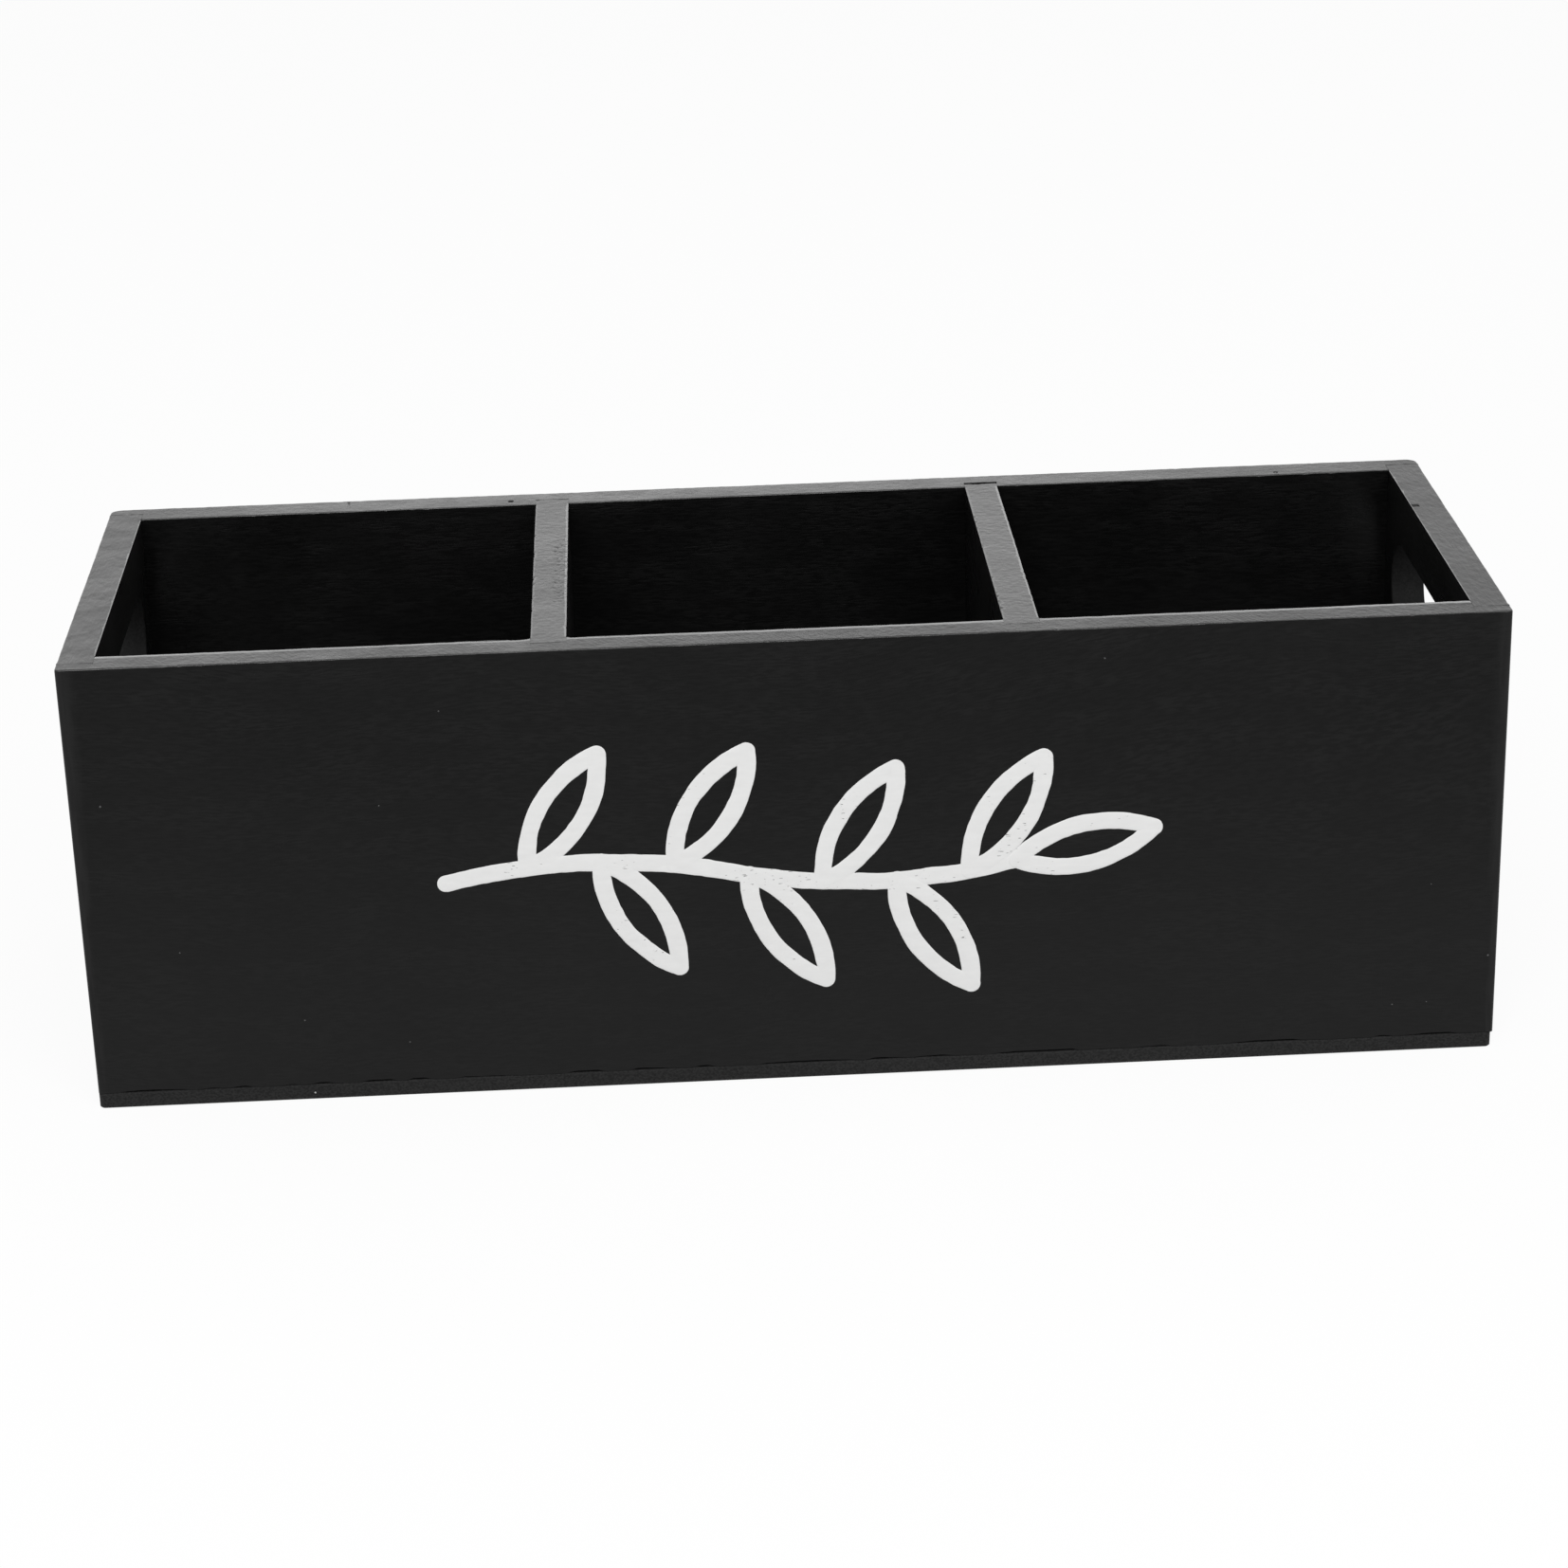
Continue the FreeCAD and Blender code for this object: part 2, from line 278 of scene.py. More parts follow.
def bent_grain(material, place):
    """The place with its height bent, so that level grain lines climb to the right in a band."""
    parts = add_node(material, "ShaderNodeSeparateXYZ", {"Vector": place}).outputs
    climb = remap(material, parts["X"], CLIMB_START_X, CLIMB_END_X, 0.0, CLIMB_HEIGHT)
    band = remap(material, parts["Z"], CLIMB_BAND_FOOT, CLIMB_BAND_TOP)
    lift = math_node(material, "MULTIPLY", climb, band)
    drift = noise(material, stretched(material, place, (11.0, 11.0, 22.0)), detail=1.0)
    wander = remap(material, drift, 0.25, 0.75, -GRAIN_WANDER, GRAIN_WANDER)
    bend = math_node(material, "SUBTRACT", math_node(material, "SUBTRACT", parts["Z"], lift), wander)
    joined = {"X": parts["X"], "Y": parts["Y"], "Z": bend}
    return add_node(material, "ShaderNodeCombineXYZ", joined).outputs["Vector"]


print("a long-grained pattern along Y:", grain_scale("Y", 1.0, 7.0))

# %% Painted light at the foot and the edges, and bumps
# Painted light: how pale the foot is painted for the floor's bounce light, and where along X the painted
# glow of the upright edges begins and ends
PAINTED_FOOT_BOUNCE = 0.44
PAINTED_EDGE_GLOW_START = 0.1455
PAINTED_EDGE_GLOW_END = 0.1500


def painted_light_places(material, place, ends):
    """0 at the top of a wall, more towards its foot, and 1 along the upright edges if it has ends."""
    parts = add_node(material, "ShaderNodeSeparateXYZ", {"Vector": place}).outputs
    # Painted floor bounce: paler towards the foot of the wall
    foot = remap(material, parts["Z"], 0.002, 0.100, PAINTED_FOOT_BOUNCE, 0.0)
    if not ends:
        return foot
    # Painted glow: a paler strip in streaks along the upright ends
    beyond = math_node(material, "ABSOLUTE", parts["X"])
    streaks = noise(material, stretched(material, place, (900.0, 900.0, 90.0)), detail=2.0)
    edge = math_node(material, "MULTIPLY", remap(material, beyond, PAINTED_EDGE_GLOW_START, PAINTED_EDGE_GLOW_END),
                     remap(material, streaks, 0.3, 0.7, 0.6, 1.3))
    return math_node(material, "MAXIMUM", foot, edge)


def bumped(material, height, depth, normal=None):
    """Normal tilted by a height from 0 to 1 that stands for a depth in millimetres."""
    inputs = {"Height": height, "Distance": depth * 0.001, "Strength": 1.0}
    if normal is not None:
        inputs["Normal"] = normal
    return add_node(material, "ShaderNodeBump", inputs).outputs["Normal"]


# Width of the strip painted paler as a glow along the upright ends
print("the edges are rubbed over", round(1000 * (PAINTED_EDGE_GLOW_END - PAINTED_EDGE_GLOW_START), 1), "mm")

# %% Black paint material
FINE_GRAIN = 2500.0
DASH_GRAIN = 340.0
PATCH_ACROSS = 260.0
PATCH_ALONG = 75.0
# Grey of the painted light at the foot and along the upright edges
PAINTED_LIGHT_GREY = 0.0145
PORE_SHARE = 0.7
STREAK_SCALE = (340.0, 1700.0, 1700.0)


def black_paint(name, axis, dark=0.0022, light=0.0077, grain_depth=0.022, peel_depth=0.012,
                ior=1.45, specular=0.16, roughness=0.30, climbing=False, ends=False, coat=None,
                hatch=None, coat_roughness=0.26, peel_scale=(820.0, 820.0, 820.0)):
    """Satin black paint; depths are in millimetres.

    Pores and cloud together pick a grey between dark and light, and paler painted light is blended
    in: painted floor bounce at the foot and a painted glow along the upright edges. The coat is a
    weight, or a function that makes one from the material and the place. The hatch is the streaks'
    angle from +X in degrees and their depth.
    """
    material, output = new_material(name)
    place = object_place(material)
    grain_place = bent_grain(material, place) if climbing else place
    dash_vector = stretched(material, grain_place, grain_scale(axis, DASH_GRAIN, FINE_GRAIN))
    dashes = noise(material, dash_vector, detail=3.0, roughness=0.55)
    patch_vector = stretched(material, grain_place, grain_scale(axis, PATCH_ALONG, PATCH_ACROSS))
    patches = remap(material, noise(material, patch_vector, detail=2.0), 0.40, 0.62, 0.5, 1.0)
    pores = math_node(material, "MULTIPLY", remap(material, dashes, 0.37, 0.63), patches)
    peel = noise(material, stretched(material, place, peel_scale), detail=2.0)
    cloud = noise(material, stretched(material, place, (34.0, 34.0, 34.0)), detail=2.0)
    tone = math_node(material, "ADD", math_node(material, "MULTIPLY", pores, PORE_SHARE),
                     math_node(material, "MULTIPLY", cloud, 1 - PORE_SHARE))
    fresh = blend_colour(material, tone, grey(dark), grey(light))
    # Painted light: the paint is blended paler at the foot and along the upright edges
    colour = blend_colour(material, painted_light_places(material, place, ends), fresh, grey(PAINTED_LIGHT_GREY))
    gloss = remap(material, cloud, 0.3, 0.7, roughness - 0.04, roughness + 0.05)
    normal = bumped(material, peel, peel_depth)
    normal = bumped(material, pores, grain_depth, normal)
    if hatch:
        angle, depth = hatch
        turned = add_node(material, "ShaderNodeMapping",
                          {"Vector": place, "Rotation": (0, 0, -math.radians(angle))}).outputs["Vector"]
        streaks = noise(material, stretched(material, turned, STREAK_SCALE), detail=2.0)
        normal = bumped(material, streaks, depth, normal)
    inputs = {"Base Color": colour, "Roughness": gloss, "Normal": normal, "IOR": ior,
              "Specular IOR Level": specular}
    if coat is not None:
        inputs["Coat Weight"] = coat(material, place) if callable(coat) else coat
        inputs["Coat Roughness"] = coat_roughness
    shader = add_node(material, "ShaderNodeBsdfPrincipled", inputs)
    material.node_tree.links.new(shader.outputs["BSDF"], output.inputs["Surface"])
    return material

# %% Wall paints
front_paint = black_paint("front_board_paint", "X", dark=0.0018, light=0.0078, specular=0.15,
                          climbing=True, ends=True)
long_paint = black_paint("long_board_paint", "X", ends=True)
end_paint = black_paint("end_board_paint", "Y", dark=0.0033, light=0.0093)
divider_paint = black_paint("divider_paint", "Y")
# The slot's walls are painted lighter and less glossy than the other black paint: painted light, for the
# light that comes in through the slot
slot_painted_light = black_paint("slot_wall_painted_light", "Y", dark=0.009, light=0.019, specular=0.05, roughness=0.5)
print("wall paints:", len([m for m in bpy.data.materials if "paint" in m.name]))

# %% [markdown]
# A thicker coat on the rim
#
# The rim was sprayed from above, so it holds more paint than the walls and dries glossier. Looked at
# along its surface it mirrors the room, which is why it looks grey and not black. A coat layer does
# that: it adds a second clear skin, and it hardly shows when one looks straight down. How thick it
# is differs from board to board, falls off to the right and is blotchy, and on the front board paint
# gathered where the dividers join it, so each rim has its own coat weight. Where paint ran together
# along a sanded edge it dried as a thin bead, which is the glossiest place of all and draws a light
# line. Sandpaper drawn slantwise left fine streaks under the paint, and they are one more bump.

# %% Coat on each board's rim
# Level, change per metre to the right, share left at the corners, blotchiness, gathering at dividers
RIM_COAT = {"front": (0.165, -1.0, 1.0, 0.45, 0.2), "back": (0.51, -0.93, 0.4, 0.25, 0.0),
            "end": (0.108, -0.65, 1.0, 0.6, 0.0), "divider": (0.48, -0.65, 1.0, 0.15, 0.0)}


def rim_coat(board):
    """Coat weight as a function: the board's level, less to the right and at the corners, in blotches.

    What gathers is more paint near the dividers, and less between them and beyond them.
    """
    level, drift, corner_share, blotch, gathers = RIM_COAT[board]

    def coat(material, place):
        x = add_node(material, "ShaderNodeSeparateXYZ", {"Vector": place}).outputs["X"]
        drifting = math_node(material, "MULTIPLY_ADD", x, drift, level)
        beyond = math_node(material, "ABSOLUTE", x)
        if gathers:
            rise = remap(material, beyond, 0.034, 0.047, -0.3 * gathers, 0.7 * gathers)
            fall = remap(material, beyond, 0.056, 0.075, 0.0, -0.8 * gathers)
            drifting = math_node(material, "ADD", drifting, math_node(material, "ADD", rise, fall))
        corners = remap(material, beyond, 0.080, 0.143, 1.0, corner_share)
        blotches = noise(material, stretched(material, place, (130.0, 210.0, 130.0)), detail=2.0)
        uneven = remap(material, blotches, 0.3, 0.7, 1 - blotch, 1 + blotch)
        return math_node(material, "MULTIPLY", math_node(material, "MULTIPLY", drifting, corners), uneven)

    return coat


print("coat at the middle of each rim:", {board: values[0] for board, values in RIM_COAT.items()})

# %% Rim paints
# Angle of the streaks from +X in degrees, and their depth in millimetres
RIM_HATCH = {"front": (-55, 0.15), "back": (-55, 0.05), "end": (-62, 0.04), "divider": (4, 0.02)}
FINE_PEEL = 820.0
RIM_PEEL_ALONG_Y = {"front": FINE_PEEL, "back": FINE_PEEL, "end": 340.0, "divider": FINE_PEEL}


def rim_paint(board, axis):
    """Paint of one board's rim: pebbled and streaky, with the coat that this board's rim has."""
    return black_paint(board + "_rim_paint", axis, peel_depth=0.17, grain_depth=0.025, ior=1.5,
                       specular=0.5, roughness=0.28, coat=rim_coat(board), hatch=RIM_HATCH[board],
                       peel_scale=(FINE_PEEL, RIM_PEEL_ALONG_Y[board], FINE_PEEL))


front_rim_paint = rim_paint("front", "X")
back_rim_paint = rim_paint("back", "X")
end_rim_paint = rim_paint("end", "Y")
divider_rim_paint = rim_paint("divider", "Y")
bead_paint = black_paint("rim_bead_paint", "X", peel_depth=0.02, ior=1.8, specular=0.5, roughness=0.16,
                         coat=1.0, coat_roughness=0.12)
faint_bead_paint = black_paint("rim_faint_bead_paint", "X", peel_depth=0.02, ior=1.62, specular=0.5,
                               roughness=0.2, coat=0.6, coat_roughness=0.16)
print("rim paints:", len([m for m in bpy.data.materials if m.name.startswith("rim") or "_rim_" in m.name]))

# %% [markdown]
# A board's section
#
# Seen from its end, a board is an upright rectangle with a small chamfer at its foot and a rounded
# arris on each side of its top. Two primitives and a Bevel modifier would give that, but a bevel is
# the same everywhere, and on the real box the sandpaper took more here and less there. So the
# section is a list of rows, each a share of the free width, a share of the height, and a share of
# the arris radius across and down. The radius is then free to change along the board.

# %% Rows of half a section
# The flat faces begin this many radii from the corner, and a row there keeps their shading flat
HOLD = 1.35
# The foot's chamfer goes this many times deeper than it goes up
SLIT = 2.5
TOP_COLUMNS = 14
ARRIS_STEPS = 7


def half_section():
    """Rows from the middle of a board's foot, up one face and over to the middle of its top.

    The columns are: share of the free width, share of the height, arris across, arris down,
    chamfer across and chamfer up. The arris is a quarter circle: 1 - cos across and 1 - sin down.
    The chamfer at the foot goes in deeper than it goes up, so that the seam is a dark slit.
    """
    turn = np.linspace(0, math.pi / 2, ARRIS_STEPS)
    deeper = SLIT * HOLD
    foot = [(0.40, 0, 0, 0, deeper, 0), (0.12, 0, 0, 0, deeper, 0), (0, 0, 0, 0, SLIT, 0),
            (0, 0, 0, 0, 0, 1)]
    face = [(0, height, 0, 0, 0, 0) for height in (0.012, 0.25, 0.5, 0.75, 0.93, 0.985)]
    face.append((0, 1, 0, HOLD, 0, 0))
    arris = [(0, 1, 1 - math.cos(angle), 1 - math.sin(angle), 0, 0) for angle in turn]
    step = 1 / (2 * TOP_COLUMNS + 1)
    top = [(step * column, 1, HOLD, 0, 0, 0) for column in range(TOP_COLUMNS + 1)]
    return np.array(foot + face + arris + top, float)


section = half_section()
around = 2 * len(section)
print("points round a board:", around)

# %% Which faces are rim, arris and bead
BEAD_COLUMNS = 5


def section_rows(first, count):
    """True for some neighbouring rows of half a section."""
    rows = np.zeros(len(section), bool)
    rows[first:first + count] = True
    return rows


def whole_ring(first_half, second_half):
    """Values round a board: up its first face, over the rim and down its second face."""
    return np.concatenate([first_half, second_half[::-1]])


def between(rows):
    """True for each face whose two neighbouring rows both belong."""
    return rows & np.roll(rows, -1)


height_share = section[:, 1]
arris_down = section[:, 3]
half_top_weight = np.where(height_share == 1, np.clip(1 - arris_down, 0, 1), 0)
top_weight = whole_ring(half_top_weight, half_top_weight)
first_arris = len(section) - TOP_COLUMNS - 1 - ARRIS_STEPS
arris_half = section_rows(first_arris, ARRIS_STEPS + 1)
bead_half = section_rows(first_arris, ARRIS_STEPS + 1 + BEAD_COLUMNS)
no_rows = section_rows(0, 0)

rim_faces = between(top_weight > 0)
left_arris_faces = between(whole_ring(arris_half, no_rows))
right_arris_faces = between(whole_ring(no_rows, arris_half))
inner_bead_faces = between(whole_ring(no_rows, bead_half))
print("faces across the rim:", rim_faces.sum(), "and across its bead:", inner_bead_faces.sum())

# %% Rings of a board
FLAT_FOOT = 0.05


def board_rings(run, outer, inner, top, outer_round, inner_round, foot_chamfer):
    """Rings of a board along its run, as (run, across, height).

    Across is the face's place plus, towards the other face, arris share times radius plus width
    share times what the two arrises leave. Height is the share of the board's height, less the
    arris share times the radius.
    """
    toward = np.sign(inner - outer)
    free = np.abs(inner - outer) - HOLD * (outer_round + inner_round)
    share, height, across_share, down_share, chamfer_across, chamfer_up = section.T
    halves = []
    for face, sign, rounding, foot_cut in ((outer, toward, outer_round, foot_chamfer),
                                           (inner, -toward, inner_round, np.full(len(run), FLAT_FOOT))):
        chamfer = foot_cut[:, None]
        offset = across_share * rounding[:, None] + chamfer_across * chamfer + share * free[:, None]
        across = face[:, None] + sign[:, None] * offset
        up = seam + height * (top[:, None] - seam) - down_share * rounding[:, None] + chamfer_up * chamfer
        along = np.broadcast_to(run[:, None], up.shape)
        halves.append(np.stack([along, across, up], axis=-1))
    return np.concatenate([halves[0], halves[1][:, ::-1]], axis=1)

# %% [markdown]
# What sanding and spraying did
#
# Three things make a sanded and sprayed edge look real: its radius wanders, a few splinters are
# missing, and its top is pebbled by the paint. All three are functions of the place along the
# board, and they only ever take wood away, so the box keeps its size.

# %% Wandering radius and missing splinters
SPLINTER_RARITY = 0.62
DENT_WIDTH = 0.45


def worn_radius(run, radius, chips, seed, dents=()):
    """Arris radius along a board: it wanders by a third, and grows where a splinter is gone.

    Splinters are gone where a noise peaks above the rarity. A dent is a place and a size, and adds
    the size times a bell curve of the dent's width.
    """
    wander = 0.22 * smooth_noise(run, 0, 17, 1, seed) + 0.16 * smooth_noise(run, 0, 3.1, 1, seed + 1)
    splinter = np.clip(smooth_noise(run, 0, 1.5, 1, seed + 2) - SPLINTER_RARITY, 0, None) * chips
    for place, size in dents:
        splinter = splinter + size * np.exp(-((run - place) / DENT_WIDTH) ** 2)
    return radius * (1 + wander) + splinter


tried_radius = worn_radius(np.arange(0, 100, 0.5), 0.3, 0.5, seed=1)
print("a radius of 0.3 mm wanders from", round(tried_radius.min(), 2), "to", round(tried_radius.max(), 2))

# %% Pebbled paint
PEBBLE_HEIGHT = 0.026


def pebbled(x, y):
    """Depth of the paint's pebbling at a place on the rim, in millimetres and never above 0.

    It is one field over the whole rim, because the coat runs on over the joints.
    """
    fine = smooth_noise(x, y, 1.15, 1.15, 120)
    broad = smooth_noise(x, y, 5.5, 4.5, 121)
    return PEBBLE_HEIGHT * (fine - 1) + PEBBLE_HEIGHT * (broad - 1)


def rim_relief(rings, weight, extra):
    """Lower the top rows of the rings by the pebbling, weighted to fade over the arrises."""
    depth = pebbled(rings[..., 0], rings[..., 1])
    if extra is not None:
        depth = depth + extra(rings[..., 0], rings[..., 1])
    rings[..., 2] += depth * weight
    return rings


print("the pebbling is at most", 4 * PEBBLE_HEIGHT, "mm deep")

# %% Places of the rings along a board
HALF_JUMP = 0.02
CORNER_STEPS = 9
MARK_REACH = 0.9
MARK_SPACING = 0.09


def run_places(low, high, spacing, steps=(), fine=(), end_round=2.5):
    """Places of the rings along a board.

    They are evenly spaced, with close pairs where the section jumps, closer ones round a pit or a
    scratch, and a quarter circle's spacing at both ends.
    """
    even = np.arange(low + end_round, high - end_round, spacing)
    for step in steps:
        even = even[np.abs(even - step) > spacing / 3]
    turn = np.linspace(0, math.pi / 2, CORNER_STEPS)
    ends = end_round * (1 - np.sin(turn))
    extra = [low + ends, high - ends]
    extra += [np.array([step - HALF_JUMP, step + HALF_JUMP]) for step in steps]
    extra += [np.arange(place - MARK_REACH, place + MARK_REACH, MARK_SPACING) for place in fine]
    return np.unique(np.round(np.concatenate([even, *extra]), 4))


def quarter_round(distance, radius):
    """How far a rounded corner falls back, at a distance past where its quarter circle starts."""
    past = np.clip(distance, 0, radius)
    return radius - np.sqrt(radius ** 2 - past ** 2)


tried_places = run_places(-half_length, half_length, 0.5, steps=(-inner_x, inner_x))
print("rings along a board of the full length:", len(tried_places))

# %% [markdown]
# Front and back boards
#
# The long boards run the full length. Past the inner faces of the end boards only a thin lip
# remains, because the ends are rabbeted, and two grooves take the dividers. In the rings this is
# simply an inner face that jumps, at pairs of rings that stand almost in the same place. The back
# board's outer corners are rounded more than the front's. Two small pits and a scratch show on its
# rim, and the front's rim was sanded down towards the compartments.

# %% Where the grooves are
PAINTED_JOINT = 0.01
DIVIDER_END_GAP = 0.15

left_divider_low, left_divider_high = box_mm("left_divider")
right_divider_low, right_divider_high = box_mm("right_divider")
groove_bottom = -left_divider_low[1] + DIVIDER_END_GAP
grooves = []
for low, high in ((left_divider_low, left_divider_high), (right_divider_low, right_divider_high)):
    grooves.append((low[0] - PAINTED_JOINT, high[0] + PAINTED_JOINT))
lip_inner = end_board_y + PAINTED_JOINT
print("grooves reach to", round(groove_bottom, 2), "mm from the middle, lips begin at", round(lip_inner, 2))

# %% Marks on the back rail, and the sanded edge of the front rail
# Place along and across, radius and depth of each pit
PITS = ((-58.7, 46.8, 0.62, 1.3), (116.7, 46.0, 0.5, 0.9))
SCRATCH_X = -95.8
SCRATCH_LENGTH = 3.0
SCRATCH_HALF_WIDTH = 0.3
SCRATCH_DEPTH = 0.28
SANDED_WIDTH = 1.15
SANDED_FALL = 0.16


def back_marks(along, across):
    """Two small holes with a flat bottom and steep sides, and a shallow scratch across the rim."""
    depth = np.zeros_like(along)
    for x, y, radius, deep in PITS:
        distance = np.hypot(along - x, across - y)
        depth -= deep * (1 - smooth_step(distance, radius * 0.75, radius * 1.1))
    near = np.exp(-((along - SCRATCH_X) / SCRATCH_HALF_WIDTH) ** 2)
    inner_end = half_depth - SCRATCH_LENGTH
    near *= smooth_step(across, inner_end - 0.6, inner_end)
    near *= 1 - smooth_step(across, half_depth - 1.1, half_depth - 0.6)
    return depth - SCRATCH_DEPTH * near


def sanded_inside(along, across):
    """Fall of the front rim towards the compartments, where the sandpaper tipped over the edge.

    It is a parabola: the fall times the square of the share of the sanded width. The lips beside
    the end boards have no such edge, and it fades out beside the dividers.
    """
    share = np.clip((across + inner_y + SANDED_WIDTH) / SANDED_WIDTH, 0, 1)
    uneven = 1 + 0.35 * smooth_noise(along, 0, 12, 1, 911)
    for low, high in grooves:
        uneven = uneven * smooth_step(np.maximum(low - along, along - high), 0, 0.8)
    return -SANDED_FALL * share ** 2 * uneven * (np.abs(along) < inner_x)


print("deepest mark:", max(deep for x, y, radius, deep in PITS), "mm, sanded fall:", SANDED_FALL, "mm")

# %% Close a board's two ends
def make_capped_piece(name, rings, paints, paint_number):
    """Piece of painted wood from rings, with ladders of quads, in the first paint, over both ends."""
    count, size = rings.shape[:2]
    caps = ladder_caps(count, size)
    faces = np.concatenate([tube_faces(count, size), caps])
    paint_number = np.concatenate([paint_number.ravel(), np.zeros(len(caps))])
    return make_piece(name, rings.reshape(-1, 3), faces, paints, paint_number)

# %% One long board
RIM_ROUND = 0.27
JOINT_ROUND = 0.02
SEAM_CHAMFER = 0.3
OUTER_RIPPLE = 0.03
INNER_WAVE = 0.16
INNER_WOBBLE = 0.05
LONG_SPACING = 0.5


def make_long_board(name, side, corner_round, seed, chips, wall_paint, top_paint, extra, fine=(),
                    bead=False):
    """Front or back board; side is -1 for the front and 1 for the back.

    Above the end boards the rim wears the end boards' paint, because the joint is sprayed over. The
    bead is the glossy line along the inner edge. The slit of the seam is the foot's chamfer times an
    opening that noise moves between 0.12 and 1.7, and it closes over the last 4 mm at both ends.
    """
    steps = [-inner_x, inner_x, *grooves[0], *grooves[1]]
    run = run_places(-half_length, half_length, LONG_SPACING, steps, fine, corner_round)
    beyond = np.abs(run)
    in_groove = np.zeros(len(run), bool)
    for low, high in grooves:
        in_groove |= (run > low) & (run < high)
    corner = quarter_round(beyond - half_length + corner_round, corner_round)
    ripple = OUTER_RIPPLE * (1 + smooth_noise(run, 0, 9, 1, seed + 5))
    outer = half_depth - corner - ripple
    wave = INNER_WAVE * smooth_noise(run, 0, 46, 1, seed + 6)
    wave = wave + INNER_WOBBLE * smooth_noise(run, 0, 7, 1, seed + 7)
    inner = np.where(in_groove, groove_bottom, inner_y + wave)
    inner = np.where(beyond > inner_x, lip_inner, inner)
    plain = in_groove | (beyond > inner_x)
    thickness = outer - inner
    outer_round = np.minimum(worn_radius(run, RIM_ROUND, 0.4, seed), 0.25 * thickness)
    inner_round = np.where(plain, JOINT_ROUND, worn_radius(run, RIM_ROUND, chips, seed + 10))
    top = rim - quarter_round(beyond - half_length + RIM_ROUND, RIM_ROUND)
    opening = np.clip(0.95 + 1.3 * smooth_noise(run, 0, 3.4, 1, seed + 8), 0.12, 1.7)
    slit = SEAM_CHAMFER * opening * (1 - 0.85 * smooth_step(beyond, half_length - 4, half_length - 1))
    rings = board_rings(run, side * outer, side * inner, top, outer_round, inner_round, slit)
    rings = rim_relief(rings, top_weight, extra)
    paints = [wall_paint, top_paint, end_rim_paint, bead_paint]
    over_end = np.abs(run[:-1] + run[1:]) / 2 > inner_x
    top_numbers = np.where(over_end, paints.index(end_rim_paint), paints.index(top_paint))
    paint_number = np.outer(top_numbers, rim_faces)
    if bead:
        free_edge = ~(plain[:-1] | plain[1:])
        paint_number[np.outer(free_edge, inner_bead_faces)] = paints.index(bead_paint)
    return make_capped_piece(name, rings, paints, paint_number)

# %% Make the two long boards
FRONT_CORNER_ROUND = 0.8
BACK_CORNER_ROUND = 2.5

front = make_long_board("front_board_sanded", -1, FRONT_CORNER_ROUND, 100, 0.5,
                        front_paint, front_rim_paint, sanded_inside, bead=True)
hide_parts("front_board")
back = make_long_board("back_board_sanded", 1, BACK_CORNER_ROUND, 200, 0.4,
                       long_paint, back_rim_paint, back_marks,
                       [SCRATCH_X] + [x for x, y, radius, deep in PITS])
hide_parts("back_board")

# %% [markdown]
# Dividers
#
# The dividers are the same section on a shorter run, turned to lie from front to back. Their
# arrises are the most ragged on the box, and the left one's top is stippled along its middle. The
# right one stops short of its groove's bottom, which leaves the small dark gap at the back rail.
# Both arrises carry a bead of paint, a bright one on the right and a faint one on the left.

# %% Stippled top of the left divider
STIPPLE_DEPTH = 0.16


def stipple(across, along):
    """Deeper, finer pebbling on the middle stretch of the left divider's top, right of its middle."""
    window = smooth_step(along, -28, -18) * (1 - smooth_step(along, 16, 24))
    window = window * (0.25 + 0.75 * smooth_step(across, -49.5, -48.0))
    dots = smooth_noise(along, across, 0.62, 0.45, 901)
    return -STIPPLE_DEPTH * window * np.clip(dots, 0, None)


tried_stipple = stipple(np.full(200, -47.0), np.linspace(-15, 15, 200))
print("stipple up to", round(-tried_stipple.min(), 3), "mm deep")

# %% One divider
DIVIDER_ROUNDS = (0.28, 0.40)
DIVIDER_SPACING = 0.3
DIVIDER_END_ROUND = 0.2
BEAD_END = 0.4


def make_divider(name, box, seed, left_chips, right_chips, left_dents, extra=None):
    """Divider from groove to groove, made along X and then turned to run along Y.

    Its arrises are worn where they are free, and sharpen to the joint's radius where the front and
    the back board hold it.
    """
    low, high = box
    run = run_places(PAINTED_JOINT - groove_bottom, high[1], DIVIDER_SPACING, end_round=DIVIDER_END_ROUND)
    left = np.full(len(run), low[0])
    right = np.full(len(run), high[0])
    free = 1 - smooth_step(np.abs(run), inner_y - 0.3, inner_y + 0.1)
    left_round = worn_radius(run, DIVIDER_ROUNDS[0], left_chips, seed, left_dents)
    right_round = worn_radius(run, DIVIDER_ROUNDS[1], right_chips, seed + 10)
    left_round = JOINT_ROUND + free * (left_round - JOINT_ROUND)
    right_round = JOINT_ROUND + free * (right_round - JOINT_ROUND)
    top = np.full(len(run), rim)
    foot = np.full(len(run), JOINT_ROUND)
    turned = board_rings(run, left, right, top, left_round, right_round, foot)[..., [1, 0, 2]]
    turned = rim_relief(turned, top_weight, extra)
    paints = [divider_paint, divider_rim_paint, bead_paint, faint_bead_paint]
    paint_number = np.outer(np.full(len(run) - 1, paints.index(divider_rim_paint)), rim_faces)
    with_bead = np.abs(run[:-1]) < inner_y - BEAD_END
    paint_number[np.outer(with_bead, right_arris_faces)] = paints.index(bead_paint)
    paint_number[np.outer(with_bead, left_arris_faces)] = paints.index(faint_bead_paint)
    return make_capped_piece(name, turned, paints, paint_number)

# %% Make the two dividers
# Place along the divider and size of each dent
LEFT_DIVIDER_DENTS = ((22.0, 0.55), (-19.0, 0.35))
RIGHT_DIVIDER_DENTS = ((19.0, 0.6), (-28.0, 0.45), (-37.0, 0.35))

